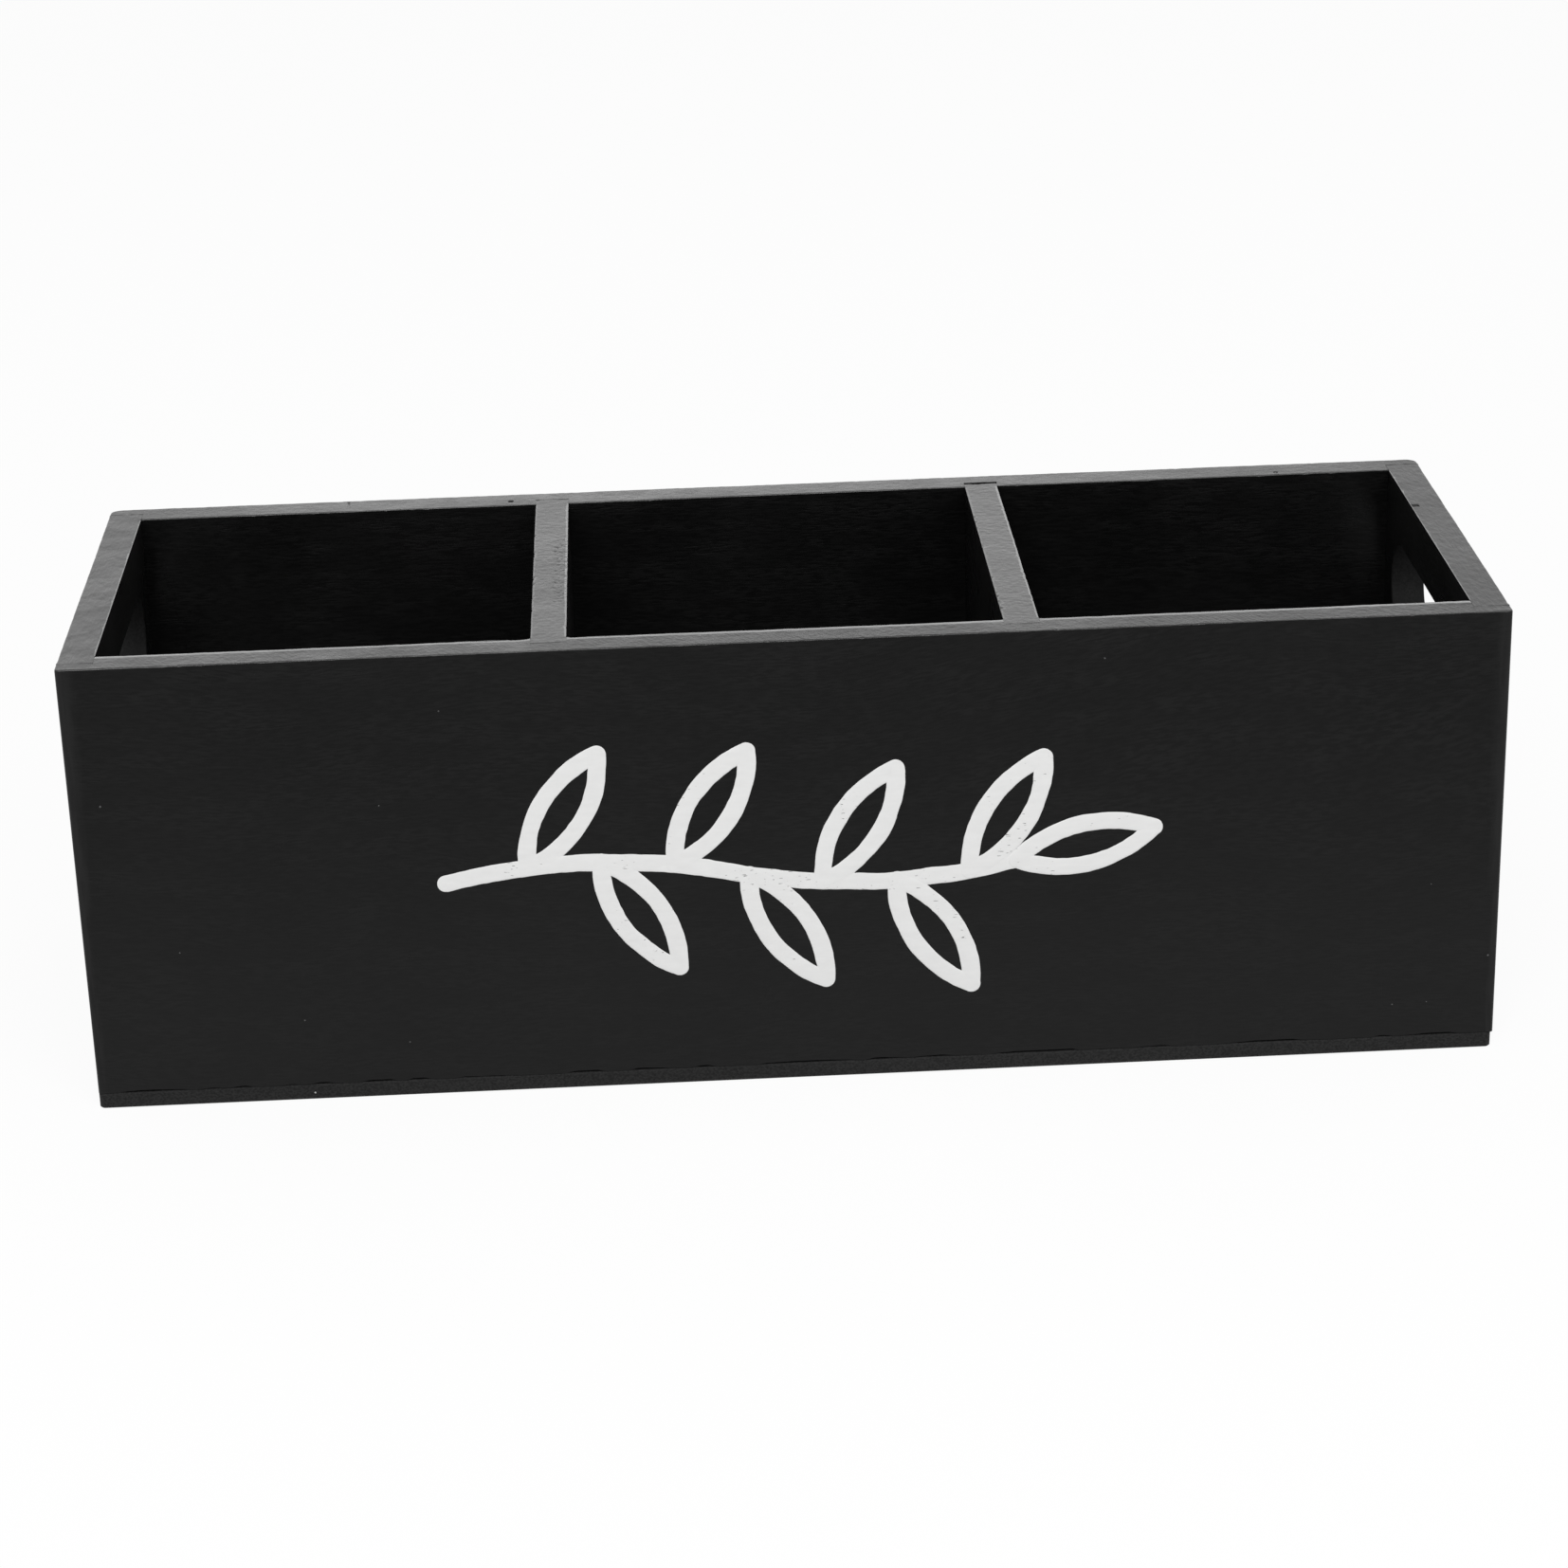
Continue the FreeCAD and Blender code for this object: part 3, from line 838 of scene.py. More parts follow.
left_divider = make_divider("left_divider_sanded", box_mm("left_divider"), 300, 2.0, 0.8,
                            LEFT_DIVIDER_DENTS, stipple)
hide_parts("left_divider")
right_divider = make_divider("right_divider_sanded", box_mm("right_divider"), 400, 2.0, 0.8,
                             RIGHT_DIVIDER_DENTS)
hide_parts("right_divider")

# %% [markdown]
# End boards with hand slots
#
# A board with a hole is a ring in the topologist's sense, and so it is one closed grid: one
# parameter goes round the board's outline, the other goes from the slot's wall over one face, round
# the outline's edge and back over the other face. Each outline point is paired with the point where
# a ray towards it leaves the slot, so no boolean is needed and the quads stay clean. The slot's
# edges were rounded by a router bit, and the rim's by sandpaper.

# %% Points round an end board
EDGE_SPACING = 0.6

board_middle = np.array([0.0, (seam + rim) / 2])
board_half = np.array([end_board_y, (rim - seam) / 2])


def rectangle_points():
    """Points round the end board, from its lower front corner, and which side each is on."""
    corners = np.array([[-1, -1], [1, -1], [1, 1], [-1, 1]], float)
    points = []
    sides = []
    for side in range(4):
        start = corners[side]
        end = corners[(side + 1) % 4]
        reach = np.abs(end - start) @ board_half
        share = np.arange(0, 1, 1 / round(reach / EDGE_SPACING))[:, None]
        points.append(start + share * (end - start))
        sides.append(np.full(len(share), side))
    return np.concatenate(points), np.concatenate(sides)


def inset(unit_points, distance):
    """The outline drawn in by a distance: each unit point times the half sizes less the distance."""
    distance = np.broadcast_to(distance, len(unit_points))[:, None]
    return board_middle + unit_points * (board_half - distance)


unit_outline, outline_side = rectangle_points()
print("points round an end board:", len(unit_outline))

# %% Where rays leave the slot
SLOT_LENGTH = 72.0
SLOT_HEIGHT = 20.0
SLOT_DROP = 12.8
LEFT_SLOT = (-2.2, rim - SLOT_DROP - SLOT_HEIGHT / 2)
RIGHT_SLOT = (0.5, rim - SLOT_DROP - SLOT_HEIGHT / 2)


def slot_edge(centre, targets):
    """Where rays from the slot's centre to the targets leave the slot, and the edge's direction out.

    The slot is a rectangle between two half circles. A ray that meets the straight side leaves at
    radius / |dz|. Another leaves at s|dy| + sqrt(r^2 - s^2 dz^2), with s half the straight length.
    """
    radius = SLOT_HEIGHT / 2
    straight = SLOT_LENGTH / 2 - radius
    ray = targets - np.array(centre)
    ray /= np.linalg.norm(ray, axis=1)[:, None]
    dy, dz = ray.T
    flat_reach = radius / np.maximum(np.abs(dz), 1e-9)
    on_flat = flat_reach * np.abs(dy) <= straight
    round_reach = straight * np.abs(dy) + np.sqrt(np.maximum(radius ** 2 - (straight * dz) ** 2, 0))
    reach = np.where(on_flat, flat_reach, round_reach)
    edge = ray * reach[:, None]
    hub = np.stack([np.where(on_flat, edge[:, 0], np.sign(dy) * straight), np.zeros(len(dy))], axis=1)
    out = (edge - hub) / radius
    return edge + np.array(centre), out


slot_y = slot_edge(LEFT_SLOT, inset(unit_outline, 0))[0][:, 0]
print("the left slot runs in y from", slot_y.min().round(1), "to", slot_y.max().round(1))

# %% Radius of the end boards' edges
END_INNER_ROUND = 0.19


def edge_rounds(seed):
    """Radius of the outer and the inner arris at each outline point.

    The rim is rounded between the joints, the foot has its small chamfer outside, and the upright
    edges in the rabbets are nearly sharp.
    """
    y = unit_outline[:, 0] * board_half[0]
    on_rim = outline_side == 2
    on_foot = outline_side == 0
    free_outer = 1 - smooth_step(np.abs(y), end_board_y - 1.2, end_board_y - 0.2)
    free_inner = 1 - smooth_step(np.abs(y), inner_y - 0.3, inner_y)
    outer = np.where(on_foot, SEAM_CHAMFER, JOINT_ROUND)
    inner = np.full(len(y), JOINT_ROUND)
    worn_outer = JOINT_ROUND + free_outer * worn_radius(y, RIM_ROUND, 0.4, seed)
    worn_inner = JOINT_ROUND + free_inner * worn_radius(y, END_INNER_ROUND, 0.7, seed + 10)
    return np.where(on_rim, worn_outer, outer), np.where(on_rim, worn_inner, inner)


print("outer edge of an end board, largest radius:", edge_rounds(500)[0].max().round(2), "mm")

# %% Rows of points over one face
SLOT_ROUND = 0.3
SLOT_STEPS = 6
SLOT_WALL_STEPS = 7
FACE_MARGINS = (4.5, 3.6, 3.0, 2.5, 2.1, 1.7, 1.3, 0.9)
FACE_SHARES = (0, 0.15, 0.4, 0.7, 0.9)


def face_rows(centre, rounding):
    """Rows over one flat face, from the slot's rounded edge to the outline's arris.

    Each row is (points in the plane of the face, depth below the face).
    """
    targets = inset(unit_outline, 0)
    edge, out = slot_edge(centre, targets)
    turn = np.linspace(0, math.pi / 2, SLOT_STEPS)
    rows = []
    for angle in turn:
        rows.append((edge + out * SLOT_ROUND * (1 - math.cos(angle)), SLOT_ROUND * (1 - math.sin(angle))))
    near_slot = edge + out * SLOT_ROUND * HOLD
    near_rim = inset(unit_outline, FACE_MARGINS[0])
    for share in FACE_SHARES:
        rows.append((near_slot + (near_rim - near_slot) * share, 0.0))
    for margin in FACE_MARGINS:
        rows.append((inset(unit_outline, margin), 0.0))
    rows.append((inset(unit_outline, HOLD * rounding), 0.0))
    for angle in np.linspace(0, math.pi / 2, ARRIS_STEPS):
        back = rounding * (1 - math.sin(angle))
        rows.append((inset(unit_outline, back), rounding * (1 - math.cos(angle))))
    planes = np.stack([row[0] for row in rows])
    depths = np.stack([np.broadcast_to(row[1], len(unit_outline)) for row in rows])
    return planes, depths

# %% Filled brad heads and the notch
FILLED_BRAD_DEPTH = 0.07
FILLED_BRAD_RADIUS = 1.15
BRAD_HALF_HEAD = 0.95
BRAD_HALF_WIRE = 0.5
NOTCH_Y = 18.3
NOTCH_LENGTH = 1.9
NOTCH_WIDTH = 0.4

corner_brads_low, corner_brads_high = box_mm("corner_brads")
brad_heights = np.linspace(corner_brads_low[2] + BRAD_HALF_HEAD, corner_brads_high[2] - BRAD_HALF_HEAD, 3)
brad_y = corner_brads_high[1] - BRAD_HALF_WIRE


def filler_dip(plane):
    """Depth of the sunken filler over the brads, at points in the plane of the outer face."""
    dip = 0
    for y in (-brad_y, brad_y):
        for z in brad_heights:
            distance = np.linalg.norm(plane - np.array([y, z]), axis=-1)
            fade = smooth_step(distance, FILLED_BRAD_RADIUS * 0.6, FILLED_BRAD_RADIUS * 1.2)
            dip = dip + FILLED_BRAD_DEPTH * (1 - fade)
    return dip


def notch_shape(y, depth, thickness):
    """1 in the notch and 0 off it: a bell curve along the rim, cut off towards the outer face."""
    near_inside = smooth_step(depth, thickness - NOTCH_LENGTH, thickness - NOTCH_LENGTH + 0.3)
    return near_inside * np.exp(-((y - NOTCH_Y) / NOTCH_WIDTH) ** 2)


print("filled brads at heights", brad_heights.round(1), "mm")

# %% One end board
def make_end_board(name, side, slot_centre, seed, notch):
    """End board; side is -1 on the left and 1 on the right. The notch is a short dent's depth.

    The rows run over the outer face from the slot to the edge, over the edge's thickness, back over
    the inner face and through the slot's wall.
    """
    outer_round, inner_round = edge_rounds(seed)
    thickness = half_length - inner_x
    outer_plane, outer_depth = face_rows(slot_centre, outer_round)
    inner_plane, inner_depth = face_rows(slot_centre, inner_round)
    wall_share = np.linspace(0, 1, 2 * TOP_COLUMNS + 2)[1:-1, None]
    free = thickness - HOLD * (outer_round + inner_round)
    wall_depth = HOLD * outer_round + wall_share * free
    wall_plane = np.broadcast_to(inset(unit_outline, 0), (len(wall_share), len(unit_outline), 2))
    slot_share = np.linspace(0, 1, SLOT_WALL_STEPS)[1:-1, None]
    slot_depth = np.broadcast_to(SLOT_ROUND + slot_share * (thickness - 2 * SLOT_ROUND),
                                 (len(slot_share), len(unit_outline)))
    slot_plane = np.broadcast_to(outer_plane[0], (len(slot_share), len(unit_outline), 2))
    plane = np.concatenate([outer_plane, wall_plane, inner_plane[::-1], slot_plane[::-1]])
    depth = np.concatenate([outer_depth, wall_depth, thickness - inner_depth[::-1], slot_depth[::-1]])
    count = len(outer_plane)
    wall_rows = np.zeros(len(plane), bool)
    wall_rows[count - ARRIS_STEPS - 1:count + len(wall_plane) + 1] = True
    bead_rows = np.zeros(len(plane), bool)
    bead_rows[count + len(wall_plane):count + len(wall_plane) + ARRIS_STEPS] = True
    slot_rows = np.zeros(len(plane), bool)
    slot_rows[:SLOT_STEPS] = True
    slot_rows[-SLOT_STEPS - len(slot_plane):] = True

    depth[:count] += filler_dip(outer_plane) * (outer_depth == 0)
    x = side * (half_length - depth)
    y = plane[..., 0]
    z = plane[..., 1].copy()
    weight = wall_rows[:, None] * (unit_outline[:, 1] > 0.999)
    z += weight * pebbled(x, y)
    z -= notch * weight * notch_shape(y, depth, thickness)
    points = np.stack([x, y, z], axis=-1).transpose(1, 0, 2)
    faces = tube_faces(points.shape[0], points.shape[1], closed=True)
    paints = [end_paint, end_rim_paint, bead_paint, slot_painted_light]
    on_rim = outline_side == 2
    paint_number = np.outer(on_rim, between(wall_rows)) * paints.index(end_rim_paint)
    has_bead = on_rim & (inner_round > 0.1)
    paint_number[np.outer(has_bead, between(bead_rows))] = paints.index(bead_paint)
    # The slot's walls wear the paint with painted light
    paint_number[:, between(slot_rows)] = paints.index(slot_painted_light)
    return make_piece(name, points.reshape(-1, 3), faces, paints, paint_number.ravel())

# %% Make the two end boards
RIGHT_NOTCH_DEPTH = 1.1

left_end = make_end_board("left_end_board_sanded", -1, LEFT_SLOT, 500, 0.0)
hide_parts("left_end_board")
right_end = make_end_board("right_end_board_sanded", 1, RIGHT_SLOT, 600, RIGHT_NOTCH_DEPTH)
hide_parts("right_end_board")

# %% [markdown]
# The base panel's fibreboard edge
#
# The base is thin fibreboard. Its cut edge drinks paint, so it dries rough, a little lighter and
# speckled. The CAD mesh is the right shape already, so it only gets a better material: specks half a
# millimetre across, and a felted bump with no direction, because fibreboard has no grain.

# %% Fibreboard paint
def fibreboard_paint(name):
    """Rough black paint over felted fibres, speckled and faintly blotchy."""
    material, output = new_material(name)
    place = object_place(material)
    blotches = noise(material, stretched(material, place, (24.0, 24.0, 120.0)), detail=3.0)
    felt = noise(material, stretched(material, place, (1900.0, 1900.0, 2600.0)), detail=3.0, roughness=0.6)
    specks = remap(material, felt, 0.36, 0.64)
    tone = math_node(material, "ADD", math_node(material, "MULTIPLY", specks, 0.7),
                     math_node(material, "MULTIPLY", blotches, 0.3))
    colour = blend_colour(material, tone, grey(0.0025), grey(0.023))
    gloss = remap(material, felt, 0.3, 0.7, 0.5, 0.66)
    bump = add_node(material, "ShaderNodeBump", {"Height": felt, "Distance": 0.00005, "Strength": 1.0})
    inputs = {"Base Color": colour, "Roughness": gloss, "Normal": bump.outputs["Normal"], "IOR": 1.48,
              "Specular IOR Level": 0.16}
    shader = add_node(material, "ShaderNodeBsdfPrincipled", inputs)
    material.node_tree.links.new(shader.outputs["BSDF"], output.inputs["Surface"])
    return material


def dress(node, material):
    """Give a CAD node's mesh a better material in place of its own."""
    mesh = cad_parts[node].data
    mesh.materials.clear()
    mesh.materials.append(material)
    print(node, "wears", material.name)


dress("base_panel", fibreboard_paint("fibreboard_edge_paint"))

# %% [markdown]
# Steel brads
#
# The brads are flat steel wire. Only the heads under the base can be seen. Steel is a metal shader
# with a fairly low roughness, drawn into streaks by the die that the wire came through.

# %% Steel material
def brad_steel(name):
    """Drawn steel wire: a metal whose roughness and tone run in fine streaks."""
    material, output = new_material(name)
    place = object_place(material)
    streaks = noise(material, stretched(material, place, (3500.0, 3500.0, 260.0)), detail=2.0)
    colour = blend_colour(material, streaks, (0.30, 0.29, 0.28, 1), (0.52, 0.52, 0.53, 1))
    gloss = remap(material, streaks, 0.3, 0.7, 0.28, 0.5)
    bump = add_node(material, "ShaderNodeBump", {"Height": streaks, "Distance": 0.00002, "Strength": 1.0})
    inputs = {"Base Color": colour, "Roughness": gloss, "Metallic": 1.0, "Normal": bump.outputs["Normal"]}
    shader = add_node(material, "ShaderNodeBsdfPrincipled", inputs)
    material.node_tree.links.new(shader.outputs["BSDF"], output.inputs["Surface"])
    return material


steel = brad_steel("drawn_brad_steel")
dress("corner_brads", steel)
dress("base_brads", steel)

# %% [markdown]
# White brush paint
#
# The sprig is matt white paint, laid on with a round brush. Where the wood's pores were too deep,
# the black shows through in short level chips. The chips are noise stretched along X and cut off
# high, so that only its peaks remain. They are darker and a little lower than the paint.

# %% White paint material
def white_brush_paint(name):
    """Matt white paint with fine chips along the grain of the board under it."""
    material, output = new_material(name)
    place = object_place(material)
    chip_noise = noise(material, stretched(material, place, (520.0, 520.0, 4200.0)), detail=2.0)
    where = noise(material, stretched(material, place, (75.0, 75.0, 75.0)), detail=1.0)
    limit = remap(material, where, 0.35, 0.7, 0.82, 0.66)
    above = math_node(material, "SUBTRACT", chip_noise, limit)
    chips = remap(material, above, 0.0, 0.03)
    cloud = noise(material, stretched(material, place, (260.0, 260.0, 900.0)), detail=2.0)
    paint = blend_colour(material, cloud, (0.77, 0.77, 0.765, 1), (0.85, 0.85, 0.845, 1))
    colour = blend_colour(material, chips, paint, grey(0.02))
    height = math_node(material, "SUBTRACT", math_node(material, "MULTIPLY", cloud, 0.3), chips)
    bump = add_node(material, "ShaderNodeBump", {"Height": height, "Distance": 0.00004, "Strength": 1.0})
    inputs = {"Base Color": colour, "Roughness": 0.62, "Normal": bump.outputs["Normal"], "IOR": 1.45}
    shader = add_node(material, "ShaderNodeBsdfPrincipled", inputs)
    material.node_tree.links.new(shader.outputs["BSDF"], output.inputs["Surface"])
    return material


sprig_paint = white_brush_paint("white_brush_paint")
print(sprig_paint.name, "is made of", len(sprig_paint.node_tree.nodes), "nodes")

# %% [markdown]
# The painted leaf sprig
#
# One wavy stem, seven leaves that stand left and right of it in turn, and one at its end. A curve
# object with a bevel would give round cords. Paint is a low dome instead: flat over most of its
# width and falling to the wood at both edges. So each stroke is a loft along an arc, whose width
# wavers as a hand does, with half circles at its ends. Every stroke is a hair higher than the one
# before, as a second pass of the brush would be.

# %% Arcs
def bowed_line(start, end, bow, count):
    """Points of a circular arc from start to end that stands off its chord by bow at its middle.

    With half chord h the radius is (h^2 + b^2) / 2b, and the arc turns asin(h / radius) each way.
    """
    start = np.array(start, float)
    end = np.array(end, float)
    chord = end - start
    half = np.linalg.norm(chord) / 2
    along = chord / (2 * half)
    across = np.array([-along[1], along[0]])
    radius = (half ** 2 + bow ** 2) / (2 * abs(bow))
    reach = math.asin(half / radius)
    angle = np.linspace(-reach, reach, count)
    sag = np.sign(bow) * (radius * np.cos(angle) - (radius - abs(bow)))
    return start + np.outer(half + radius * np.sin(angle), along) + np.outer(sag, across)


tried_arc = bowed_line((0, 0), (10, 0), 2, 5)
print("middle of an arc over 10 mm that stands off by 2 mm:", tried_arc[2].round(3))

# %% Brush strokes
BRUSH_RADIUS = 1.9
STROKE_SINK = 0.02
END_STEPS = 9
ACROSS_POINTS = 15


def brush_stroke(path, height, seed):
    """Rings of one stroke of paint along a path of (x, z) points on the front face.

    At share t of the half width the paint stands height times (1 - t^6)^0.5 off the wood. Past both
    ends of the path the half width falls as the cosine and the ring moves on by the sine.
    """
    ahead = np.gradient(path, axis=0)
    ahead /= np.linalg.norm(ahead, axis=1)[:, None]
    turn = np.linspace(-0.49 * math.pi, 0, END_STEPS)[:-1]
    before = path[0] + np.outer(np.sin(turn) * BRUSH_RADIUS, ahead[0])
    after = path[-1] - np.outer(np.sin(turn[::-1]) * BRUSH_RADIUS, ahead[-1])
    middle = np.concatenate([before, path, after])
    ahead = np.concatenate([np.repeat(ahead[:1], len(turn), 0), ahead, np.repeat(ahead[-1:], len(turn), 0)])
    narrowing = np.concatenate([np.cos(turn), np.ones(len(path)), np.cos(turn[::-1])])
    side = np.stack([-ahead[:, 1], ahead[:, 0]], axis=1)
    length = np.concatenate([[0], np.cumsum(np.linalg.norm(np.diff(middle, axis=0), axis=1))])
    widths = []
    for edge in (0, 1):
        slow = 0.075 * smooth_noise(length, edge * 40, 5.5, 1, seed)
        quick = 0.03 * smooth_noise(length, edge * 40, 1.3, 1, seed + 1)
        widths.append(BRUSH_RADIUS * narrowing * (1 + slow + quick))
    share = np.sin(np.linspace(-math.pi / 2, math.pi / 2, ACROSS_POINTS))
    width = np.where(share < 0, widths[0][:, None], widths[1][:, None])
    spot = middle[:, None, :] + side[:, None, :] * (share * width)[..., None]
    dome = height * np.maximum(1 - share ** 6, 0) ** 0.5 * np.minimum(narrowing[:, None] * 2.5, 1)
    upper = np.stack([spot[..., 0], -half_depth - dome, spot[..., 1]], axis=-1)
    lower = upper.copy()
    lower[..., 1] = -half_depth + STROKE_SINK
    lower[:, [0, -1], 1] = -half_depth + STROKE_SINK / 2
    return np.concatenate([upper, lower[:, ::-1]], axis=1)


print("a stroke is about", 2 * BRUSH_RADIUS, "mm wide")

# %% Stem and leaves
SPRIG_LEFT = -73.1
SPRIG_RIGHT = 47.0
SPRIG_HEIGHT = 49.0
STEM_SWAY = 3.5
LEAF_LENGTH = 29.5
LEAF_HALF_WIDTH = 4.6
LEAF_POINTS = 56


def stem_height(x):
    """Height of the stem at x: one shallow arc up, then one down.

    With half chord h and sway s the radius is (h^2 + s^2) / 2s, and the arc stands
    (radius^2 - x^2)^0.5 - (radius - s) off its chord at a distance x from the chord's middle.
    """
    middle = (SPRIG_LEFT + SPRIG_RIGHT) / 2
    side = 1 if x <= middle else -1
    from_left = SPRIG_LEFT if x <= middle else middle
    half = (SPRIG_RIGHT - SPRIG_LEFT) / 4
    radius = (half ** 2 + STEM_SWAY ** 2) / (2 * STEM_SWAY)
    rise = math.sqrt(radius ** 2 - (x - from_left - half) ** 2) - (radius - STEM_SWAY)
    return SPRIG_HEIGHT + side * rise


def leaf_paths(base, degrees):
    """The two arcs of one leaf, from its base to its tip and back."""
    turn = math.radians(degrees)
    tip = base + LEAF_LENGTH * np.array([math.cos(turn), math.sin(turn)])
    out = bowed_line(base, tip, LEAF_HALF_WIDTH, LEAF_POINTS)
    home = bowed_line(tip, base, LEAF_HALF_WIDTH, LEAF_POINTS)
    return [out, home]


print("the stem sways from", round(stem_height(17.0), 1), "to", round(stem_height(-43.0), 1), "mm high")

# %% Paint the sprig
PAINT_HEIGHT = 0.085
STROKE_RISE = 0.0025
STEM_POINTS = 110
LEAF_ANGLE = 58.0
FIRST_LEAF_X = -56.0
LEAF_SPACING = 15.5
LEAF_COUNT = 7
END_LEAF_ANGLE = 12.0

stem_middle = np.array([(SPRIG_LEFT + SPRIG_RIGHT) / 2, SPRIG_HEIGHT])
stem_start = np.array([SPRIG_LEFT, SPRIG_HEIGHT])
stem_end = np.array([SPRIG_RIGHT, SPRIG_HEIGHT])
first_bow = bowed_line(stem_start, stem_middle, STEM_SWAY, STEM_POINTS)
second_bow = bowed_line(stem_middle, stem_end, -STEM_SWAY, STEM_POINTS)
paths = [np.concatenate([first_bow, second_bow[1:]])]
for index in range(LEAF_COUNT):
    leaf_x = FIRST_LEAF_X + index * LEAF_SPACING
    leaf_turn = LEAF_ANGLE if index % 2 == 0 else -LEAF_ANGLE
    paths += leaf_paths(np.array([leaf_x, stem_height(leaf_x)]), leaf_turn)
paths += leaf_paths(stem_end, END_LEAF_ANGLE)

stroke_points = []
stroke_faces = []
point_count = 0
for index, path in enumerate(paths):
    rings = brush_stroke(path, PAINT_HEIGHT + STROKE_RISE * index, 700 + 10 * index)
    ring_count, ring_size = rings.shape[:2]
    faces = np.concatenate([tube_faces(ring_count, ring_size), ladder_caps(ring_count, ring_size)])
    stroke_points.append(rings.reshape(-1, 3))
    stroke_faces.append(faces + point_count)
    point_count += ring_count * ring_size
sprig = make_piece("brushed_leaf_sprig", np.concatenate(stroke_points), np.concatenate(stroke_faces),
                   [sprig_paint], sharp_degrees=60)
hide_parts("painted_sprig")

# %% [markdown]
# Dust nibs
#
# A dozen grains of dust dried into the front's paint and catch the light. Each is a low dome, more
# than half sunk in the paint, and one array holds the domes of all the grains.

# %% Domes of dust
# Place along the front, height and radius of each grain
NIBS = ((-143.4, 69.8, 0.24), (-129.9, 35.8, 0.18), (-104.9, 18.8, 0.18), (-83.0, 12.6, 0.17),
        (-72.4, 87.9, 0.17), (-86.0, 67.4, 0.16), (65.3, 93.5, 0.2), (127.8, 11.2, 0.2),
        (135.2, 11.5, 0.14), (148.1, 21.9, 0.24), (135.2, 39.2, 0.14), (-103.9, 1.6, 0.27))
NIB_HEIGHT = 0.1
NIB_SINK = 0.06
NIB_ROWS = 7
NIB_AROUND = 12


def nib_rings(nibs):
    """Domes over (x, z, radius): ring angle a and height angle b, standing cos b wide and sin b high."""
    centre = np.array(nibs)
    rise = np.linspace(-0.3, 0.47 * math.pi, NIB_ROWS)
    angle = (np.arange(NIB_AROUND) + 0.5) * 2 * math.pi / NIB_AROUND
    wide = np.cos(rise)[None, :, None] * centre[:, 2, None, None]
    uneven = 1 + 0.2 * smooth_noise(centre[:, 0, None, None] * 7, angle[None, None, :] * 9, 5, 5, 811)
    x = centre[:, 0, None, None] + wide * np.cos(angle) * uneven
    z = centre[:, 1, None, None] + wide * np.sin(angle) * uneven
    high = np.sin(rise)[None, :, None] * NIB_HEIGHT
    y = np.broadcast_to(-half_depth + NIB_SINK - high, x.shape)
    return np.stack([x, y, z], axis=-1)


print("a grain stands", round(NIB_HEIGHT - NIB_SINK, 3), "mm off the paint")

# %% Dust nibs in the paint
def nib_material(name):
    """Grey grain of dust under a thin coat of paint; the one on the base's edge is bare and pale."""
    material, output = new_material(name)
    place = object_place(material)
    speckle = noise(material, stretched(material, place, (9000.0, 9000.0, 9000.0)))
    z = add_node(material, "ShaderNodeSeparateXYZ", {"Vector": place}).outputs["Z"]
    bare = remap(material, z, 0.0028, 0.0034, 0.85, 0.0)
    coated = blend_colour(material, speckle, grey(0.03), grey(0.09))
    colour = blend_colour(material, bare, coated, grey(0.5))
    inputs = {"Base Color": colour, "Roughness": 0.5}
    shader = add_node(material, "ShaderNodeBsdfPrincipled", inputs)
    material.node_tree.links.new(shader.outputs["BSDF"], output.inputs["Surface"])
    return material


domes = nib_rings(NIBS)
nib_count, nib_rows, nib_around = domes.shape[:3]
one_nib = np.concatenate([tube_faces(nib_rows, nib_around), ladder_caps(nib_rows, nib_around)])
shift = np.arange(nib_count)[:, None, None] * nib_rows * nib_around
make_piece("dust_nibs", domes.reshape(-1, 3), (one_nib[None] + shift).reshape(-1, 4),
           [nib_material("dust_in_paint")], sharp_degrees=60)

# %% [markdown]
# The floor and the room
#
# The box stands on a plain pale floor in a white room. Black paint shows what it mirrors more than
# its own colour, so what it mirrors has to be right. For the camera and for mirrored rays the floor
# and the world are lifted to white with Light Path, so the background is white, also in the gloss,
# while no extra light falls on the object. A share of the floor's real shading stays in, and that
# keeps the contact shadow.

# %% Rays that see white
SEEN_BY = ("Is Camera Ray", "Is Glossy Ray", "Is Transmission Ray")


def seen_rays(material, names):
    """1 for rays of the named kinds, such as Is Camera Ray, and 0 for others."""
    light_path = add_node(material, "ShaderNodeLightPath").outputs
    seen = light_path[names[0]]
    for name in names[1:]:
        seen = math_node(material, "MAXIMUM", seen, light_path[name])
    return seen


print("white for:", ", ".join(SEEN_BY))

# %% Floor
FLOOR_HALF = 6.0
FLOOR_CELLS = 6
FLOOR_GREY = 0.6
FLOOR_SHADING = 0.16
FLOOR_LIFT = 1.09


def make_floor():
    """A plain grid of quads at the height that the box stands on; cell (i, j) has its corner there."""
    across = FLOOR_CELLS + 1
    steps = np.linspace(-FLOOR_HALF, FLOOR_HALF, across)
    x, y = np.meshgrid(steps, steps, indexing="ij")
    points = np.stack([x, y, np.zeros_like(x)], axis=-1).reshape(-1, 3)
    i, j = np.meshgrid(np.arange(FLOOR_CELLS), np.arange(FLOOR_CELLS), indexing="ij")
    corner = i * across + j
    faces = np.stack([corner, corner + across, corner + across + 1, corner + 1], axis=-1).reshape(-1, 4)
    mesh = bpy.data.meshes.new("pale_floor")
    mesh.from_pydata(points.tolist(), [], faces.tolist())
    floor = bpy.data.objects.new("pale_floor", mesh)
    bpy.context.scene.collection.objects.link(floor)
    return floor


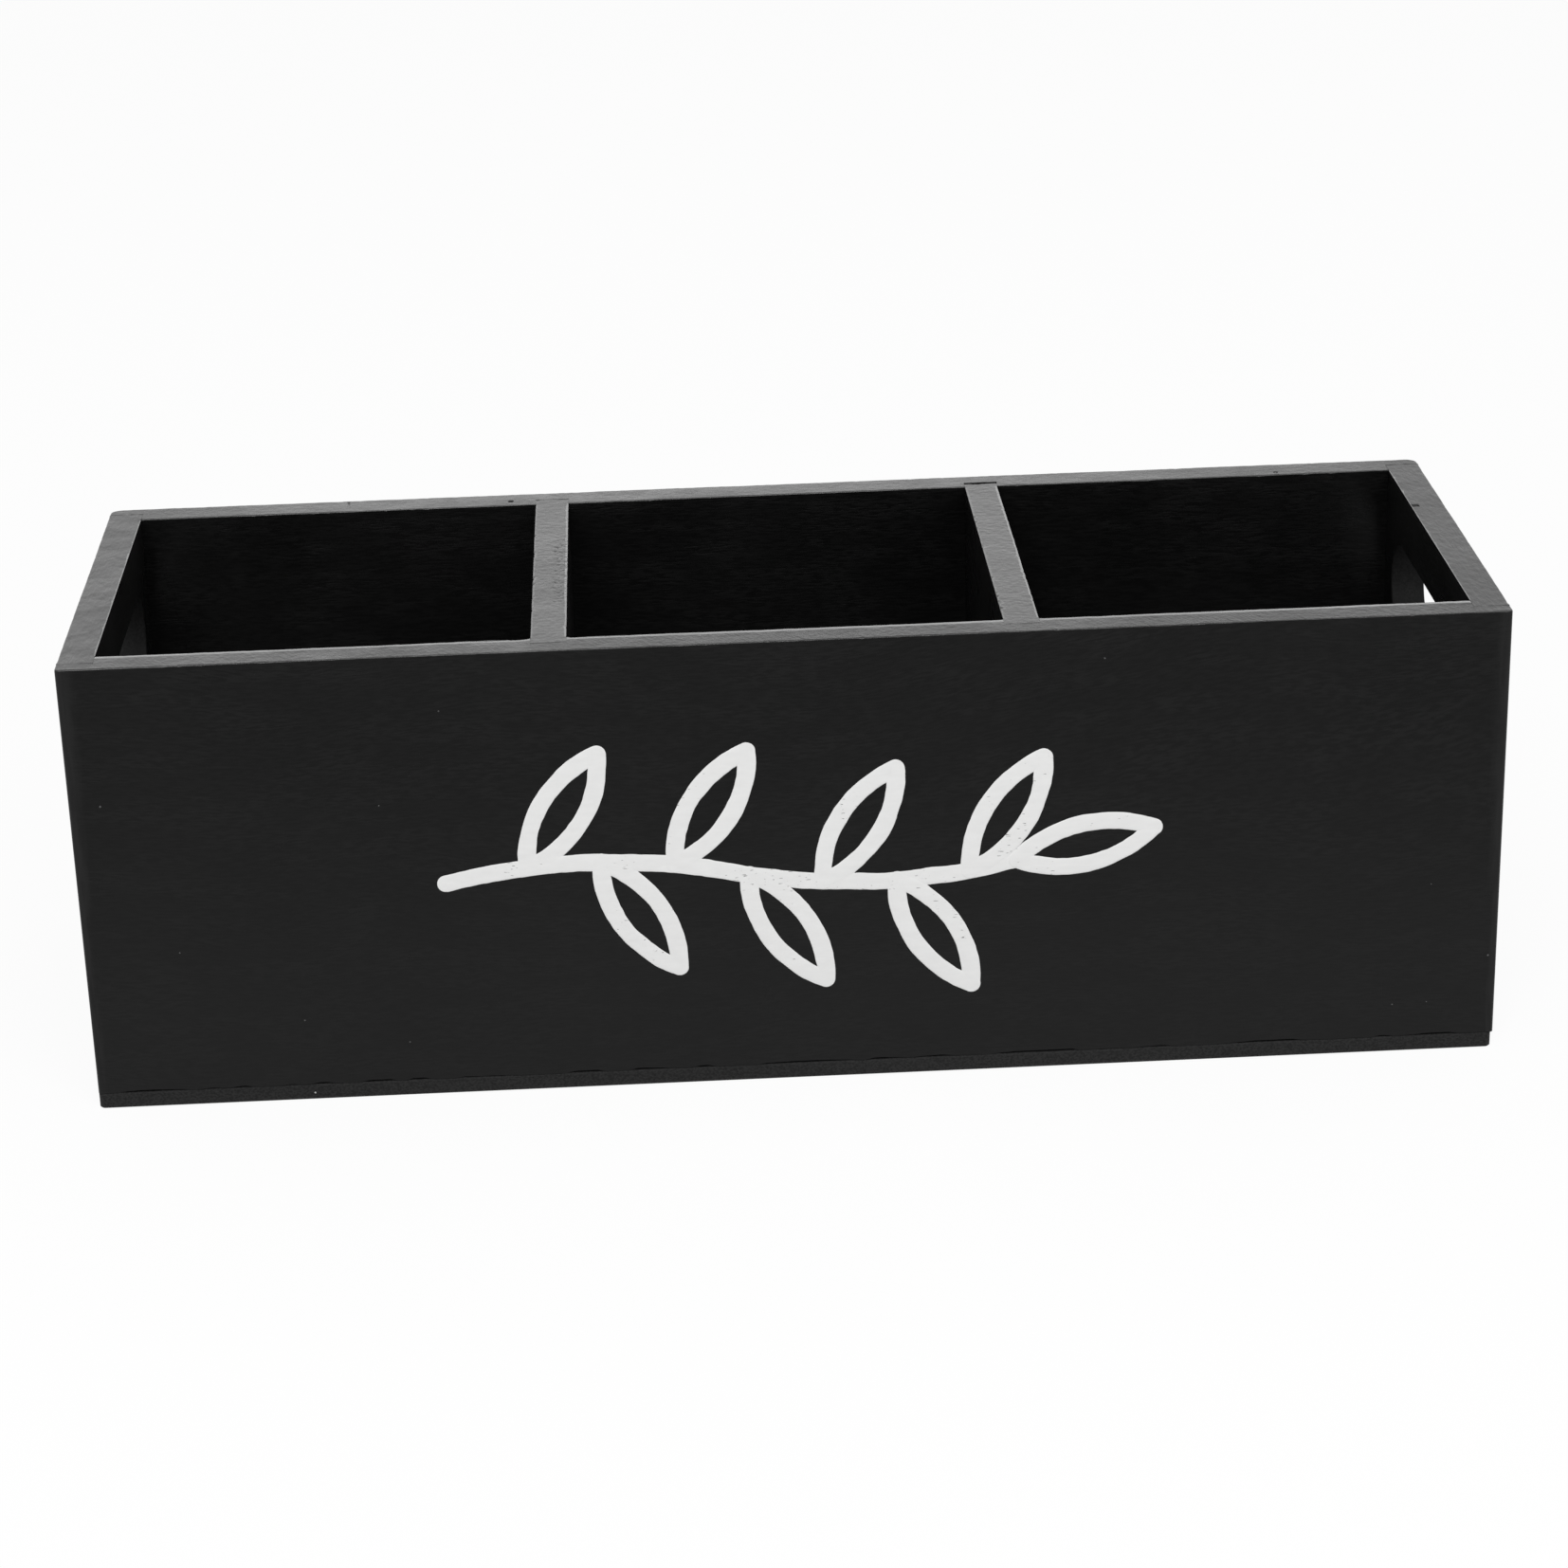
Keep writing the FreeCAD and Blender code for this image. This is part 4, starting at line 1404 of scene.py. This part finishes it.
def floor_material():
    """Pale grey that the camera sees as white, with a share of its shading left in."""
    material, output = new_material("pale_floor")
    mottle = noise(material, stretched(material, object_place(material), (5.0, 5.0, 5.0)))
    colour = blend_colour(material, mottle, grey(FLOOR_GREY * 0.98), grey(FLOOR_GREY * 1.02))
    lit = add_node(material, "ShaderNodeBsdfDiffuse", {"Color": colour})
    lift = add_node(material, "ShaderNodeEmission", {"Color": grey(1.0), "Strength": FLOOR_LIFT})
    seen = seen_rays(material, SEEN_BY)
    share = math_node(material, "MULTIPLY", seen, 1 - FLOOR_SHADING)
    mixed = add_node(material, "ShaderNodeMixShader", {0: share, 1: lit.outputs[0], 2: lift.outputs[0]})
    material.node_tree.links.new(mixed.outputs[0], output.inputs["Surface"])
    return material


pale_floor = make_floor()
pale_floor.data.materials.append(floor_material())
print("floor", 2 * FLOOR_HALF, "m across")

# %% Room
ROOM_LIGHT = 0.45


def make_room():
    """World that looks white and lights the object softly from all sides."""
    world = bpy.data.worlds.new("white_room")
    world.use_nodes = True
    world.node_tree.nodes.clear()
    output = add_node(world, "ShaderNodeOutputWorld")
    seen = seen_rays(world, SEEN_BY)
    strength = math_node(world, "ADD", math_node(world, "MULTIPLY", seen, 1 - ROOM_LIGHT), ROOM_LIGHT)
    light = add_node(world, "ShaderNodeBackground", {"Color": grey(1.0), "Strength": strength})
    world.node_tree.links.new(light.outputs[0], output.inputs["Surface"])
    bpy.context.scene.world = world
    print("the room gives", ROOM_LIGHT, "of full light")


make_room()

# %% [markdown]
# Soft lamps
#
# Two large area lamps stand in for softboxes, one on each side of the camera. Their size makes the
# shadows soft, and their strength is chosen so that the white paint renders about as it is written:
# a lamp of P watts at distance d adds about P / (pi d)^2 to a surface that faces it.

# %% Lamps
LAMP_TARGET = Vector((0.0, 0.0, 0.05))
LAMP_SIZE = 1.0


def softbox(name, place, share):
    """Square area lamp aimed at the box, adding this share of full daylight to a facing surface."""
    lamp_data = bpy.data.lights.new(name, "AREA")
    lamp_data.shape = "SQUARE"
    lamp_data.size = LAMP_SIZE
    reach = LAMP_TARGET - Vector(place)
    lamp_data.energy = share * (math.pi * reach.length) ** 2
    lamp = bpy.data.objects.new(name, lamp_data)
    lamp.location = place
    lamp.rotation_euler = reach.to_track_quat("-Z", "Y").to_euler()
    bpy.context.scene.collection.objects.link(lamp)
    print(name, round(lamp_data.energy, 1), "W")


softbox("left_softbox", (-0.45, -1.7, 1.3), 0.367)
softbox("right_softbox", (0.7, -1.5, 1.2), 0.255)

# %% [markdown]
# The camera
#
# A photograph's perspective can be undone: the corners of a box whose proportions are known give the
# camera's place, its aim, its roll and its lens. The values below come from such a fit. The camera
# stands 0.86 m away, looks down by 22 degrees, and leans a little to the right.

# %% Camera
CAMERA_PLACE = (-0.02803, -0.79247, 0.37562)
CAMERA_TARGET = (0.00015, 0.0, 0.04703)
CAMERA_ROLL_DEGREES = 1.64
CAMERA_LENS = 88.43
SENSOR_WIDTH = 36.0
NEAREST_SEEN = 0.05
FURTHEST_SEEN = 60.0

bpy.context.scene.view_settings.view_transform = "Standard"
camera_data = bpy.data.cameras.new("photo_camera")
camera_data.lens = CAMERA_LENS
camera_data.sensor_width = SENSOR_WIDTH
camera_data.clip_start = NEAREST_SEEN
camera_data.clip_end = FURTHEST_SEEN
camera = bpy.data.objects.new("photo_camera", camera_data)
camera.location = CAMERA_PLACE
aim = (Vector(CAMERA_TARGET) - Vector(CAMERA_PLACE)).to_track_quat("-Z", "Y")
lean = Quaternion((0, 0, 1), -math.radians(CAMERA_ROLL_DEGREES))
camera.rotation_mode = "QUATERNION"
camera.rotation_quaternion = aim @ lean
bpy.context.scene.collection.objects.link(camera)
bpy.context.scene.camera = camera
print("camera to box:", round((Vector(CAMERA_TARGET) - Vector(CAMERA_PLACE)).length, 3), "m")
